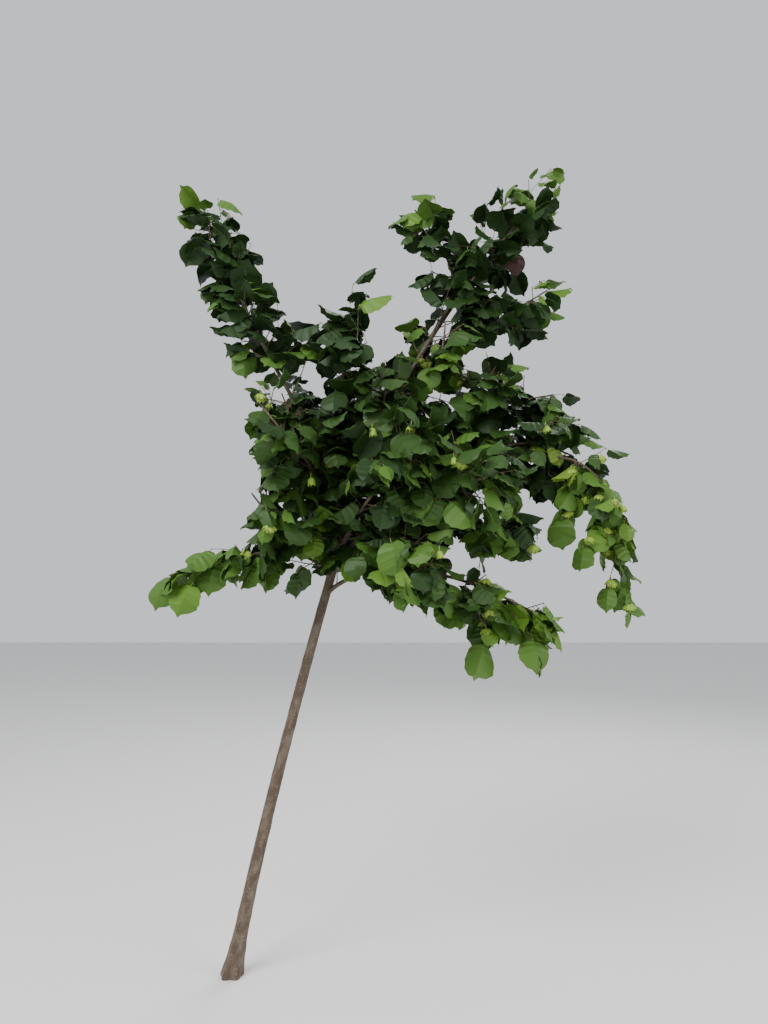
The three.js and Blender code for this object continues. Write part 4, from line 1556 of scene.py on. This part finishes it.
class HAZEL_OT_stage(bpy.types.Operator):
    """Set the pale floor, the soft lights and the camera"""

    bl_idname = "hazel.stage"
    bl_label = "Stage"

    def execute(self, context):
        stage = context.scene.hazel_stage
        deselect_all()
        bpy.ops.mesh.primitive_plane_add(size=FLOOR_SIZE, location=FLOOR_AT)
        floor = context.object
        floor.name = "floor"
        floor.data.materials.append(plain_finish("floor", stage.floor, FLOOR_ROUGHNESS))
        self.sky(context, stage)
        for name, row in LAMPS.items():
            self.lamp(name, *row, getattr(stage, name))
        camera = bpy.data.objects.new("camera", bpy.data.cameras.new("camera"))
        context.collection.objects.link(camera)
        camera.data.sensor_width = SENSOR
        camera.data.lens = FOCAL_PIXELS / FRAME_HEIGHT * SENSOR
        camera.location = CAMERA_AT
        camera.rotation_euler = (math.pi / 2 + CAMERA_PITCH, 0, 0)
        context.scene.camera = camera
        return {"FINISHED"}

    def sky(self, context, stage):
        world = bpy.data.worlds.new("studio")
        world.use_nodes = True
        background = world.node_tree.nodes["Background"]
        background.inputs["Color"].default_value = (*stage.backdrop, 1)
        background.inputs["Strength"].default_value = stage.ambient
        context.scene.world = world

    def lamp(self, name, place, target, size, power):
        light = bpy.data.lights.new(name, "AREA")
        light.energy, light.size = power, size
        lamp = bpy.data.objects.new(name, light)
        bpy.context.collection.objects.link(lamp)
        lamp.location = place
        lamp.rotation_euler = (Vector(target) - Vector(place)).to_track_quat("-Z", "Y").to_euler()


def colour_of(name, description, default):
    return FloatVectorProperty(name=name, description=description, subtype="COLOR", default=default)


def length_of(name, description, default):
    return FloatProperty(name=name, description=description, unit="LENGTH", default=default)


class HazelBark(bpy.types.PropertyGroup):
    # The brown and the bloom are darker than the bark's own colours, partly as painted shade of the limbs
    colour: colour_of("Bark", "Brown of the smooth bark", (0.072, 0.045, 0.027))
    bloom: colour_of("Bloom", "Grey bloom that lies over it in patches", (0.14, 0.11, 0.078))
    streak: colour_of("Streaks", "Darker lengthwise streaks", (0.034, 0.022, 0.014))
    lenticel: colour_of("Lenticels", "Pale pores that lie across the bark", (0.3, 0.24, 0.16))
    twig: colour_of("Twigs", "Young bark in the shade", (0.06, 0.042, 0.018))
    twig_light: colour_of("Twig mottle", "Young bark where it is lighter", (0.12, 0.085, 0.04))
    relief: length_of("Relief", "Depth of the bark's ridges", 0.45 * MM)


class HazelLeaves(bpy.types.PropertyGroup):
    length: length_of("Length", "A leaf with its stalk", 0.11)
    spacing: length_of("Spacing", "Along a twig", 0.03)
    # Every leaf tint is darker than the leaves' own green, as painted shade of the crown. The under sides are
    # kept darker than a real leaf's pale under side, as painted shade too
    deep: colour_of("Deep", "Upper side of the oldest leaves", (0.016, 0.04, 0.009))
    deep_under: colour_of("Deep, below", "Under side of the oldest leaves", (0.028, 0.058, 0.014))
    middle: colour_of("Middle", "Upper side of full-grown leaves", (0.028, 0.066, 0.012))
    middle_under: colour_of("Middle, below", "Under side of full-grown leaves", (0.048, 0.092, 0.02))
    # fresh and young are the leaves' own lighter greens of new growth, and partly painted light: they stand
    # for leaves lit from the front or from behind
    fresh: colour_of("Fresh", "Upper side of leaves in the light", (0.06, 0.13, 0.018))
    fresh_under: colour_of("Fresh, below", "Under side of leaves in the light", (0.09, 0.165, 0.03))
    young: colour_of("Young", "Upper side of the newest leaves", (0.085, 0.175, 0.02))
    young_under: colour_of("Young, below", "Under side of the newest leaves", (0.115, 0.2, 0.032))
    yellow: colour_of("Yellow", "Upper side of leaves that turn", (0.12, 0.2, 0.024))
    yellow_under: colour_of("Yellow, below", "Under side of leaves that turn", (0.15, 0.225, 0.038))
    dead: colour_of("Dead", "Upper side of a withered leaf", (0.024, 0.007, 0.006))
    dead_under: colour_of("Dead, below", "Under side of a withered leaf", (0.034, 0.012, 0.009))
    stalk: colour_of("Stalks", "Leaf stalks and midribs", (0.16, 0.2, 0.06))


class HazelNuts(bpy.types.PropertyGroup):
    width: length_of("Width", "Width of a nut", NUT_WIDTH)
    shell: colour_of("Shell", "Unripe shell", (0.4, 0.45, 0.12))
    husk: colour_of("Husk", "Frilled husk", (0.24, 0.36, 0.05))


class HazelStage(bpy.types.PropertyGroup):
    floor: colour_of("Floor", "Plain pale floor", (0.72, 0.72, 0.7))
    backdrop: colour_of("Backdrop", "Plain pale surroundings", (0.93, 0.95, 1.0))
    ambient: FloatProperty(name="Ambient", description="Strength of the surroundings", default=0.85)
    key: FloatProperty(name="Key", description="Power of the main light, in watts", default=400)
    fill: FloatProperty(name="Fill", description="Power of the fill light, in watts", default=130)
    back: FloatProperty(name="Back", description="Power of the light behind, in watts", default=170)


STEPS = (HAZEL_OT_trunk, HAZEL_OT_boughs, HAZEL_OT_twigs, HAZEL_OT_leaves, HAZEL_OT_nuts, HAZEL_OT_stage)
SETTINGS = {
    "hazel_bark": HazelBark,
    "hazel_leaves": HazelLeaves,
    "hazel_nuts": HazelNuts,
    "hazel_stage": HazelStage,
}


class HAZEL_PT_sidebar(bpy.types.Panel):
    bl_idname = "HAZEL_PT_sidebar"
    bl_label = "Young hazel"
    bl_space_type = "VIEW_3D"
    bl_region_type = "UI"
    bl_category = "Hazel"

    def draw(self, context):
        for step in STEPS:
            self.layout.operator(step.bl_idname)
        for name in SETTINGS:
            settings = getattr(context.scene, name)
            box = self.layout.box()
            for setting in settings.bl_rna.properties:
                if not setting.is_readonly and setting.identifier != "name":
                    box.prop(settings, setting.identifier)


CLASSES = (*SETTINGS.values(), *STEPS, HAZEL_PT_sidebar)


def register():
    for cls in CLASSES:
        bpy.utils.register_class(cls)
    for name, cls in SETTINGS.items():
        setattr(bpy.types.Scene, name, PointerProperty(type=cls))


def unregister():
    for name in SETTINGS:
        delattr(bpy.types.Scene, name)
    for cls in reversed(CLASSES):
        bpy.utils.unregister_class(cls)


def main():
    register()
    bpy.ops.hazel.trunk()
    bpy.ops.hazel.boughs()
    bpy.ops.hazel.twigs()
    bpy.ops.hazel.leaves()
    bpy.ops.hazel.nuts()
    bpy.ops.hazel.stage()


if __name__ == "__main__":
    main()
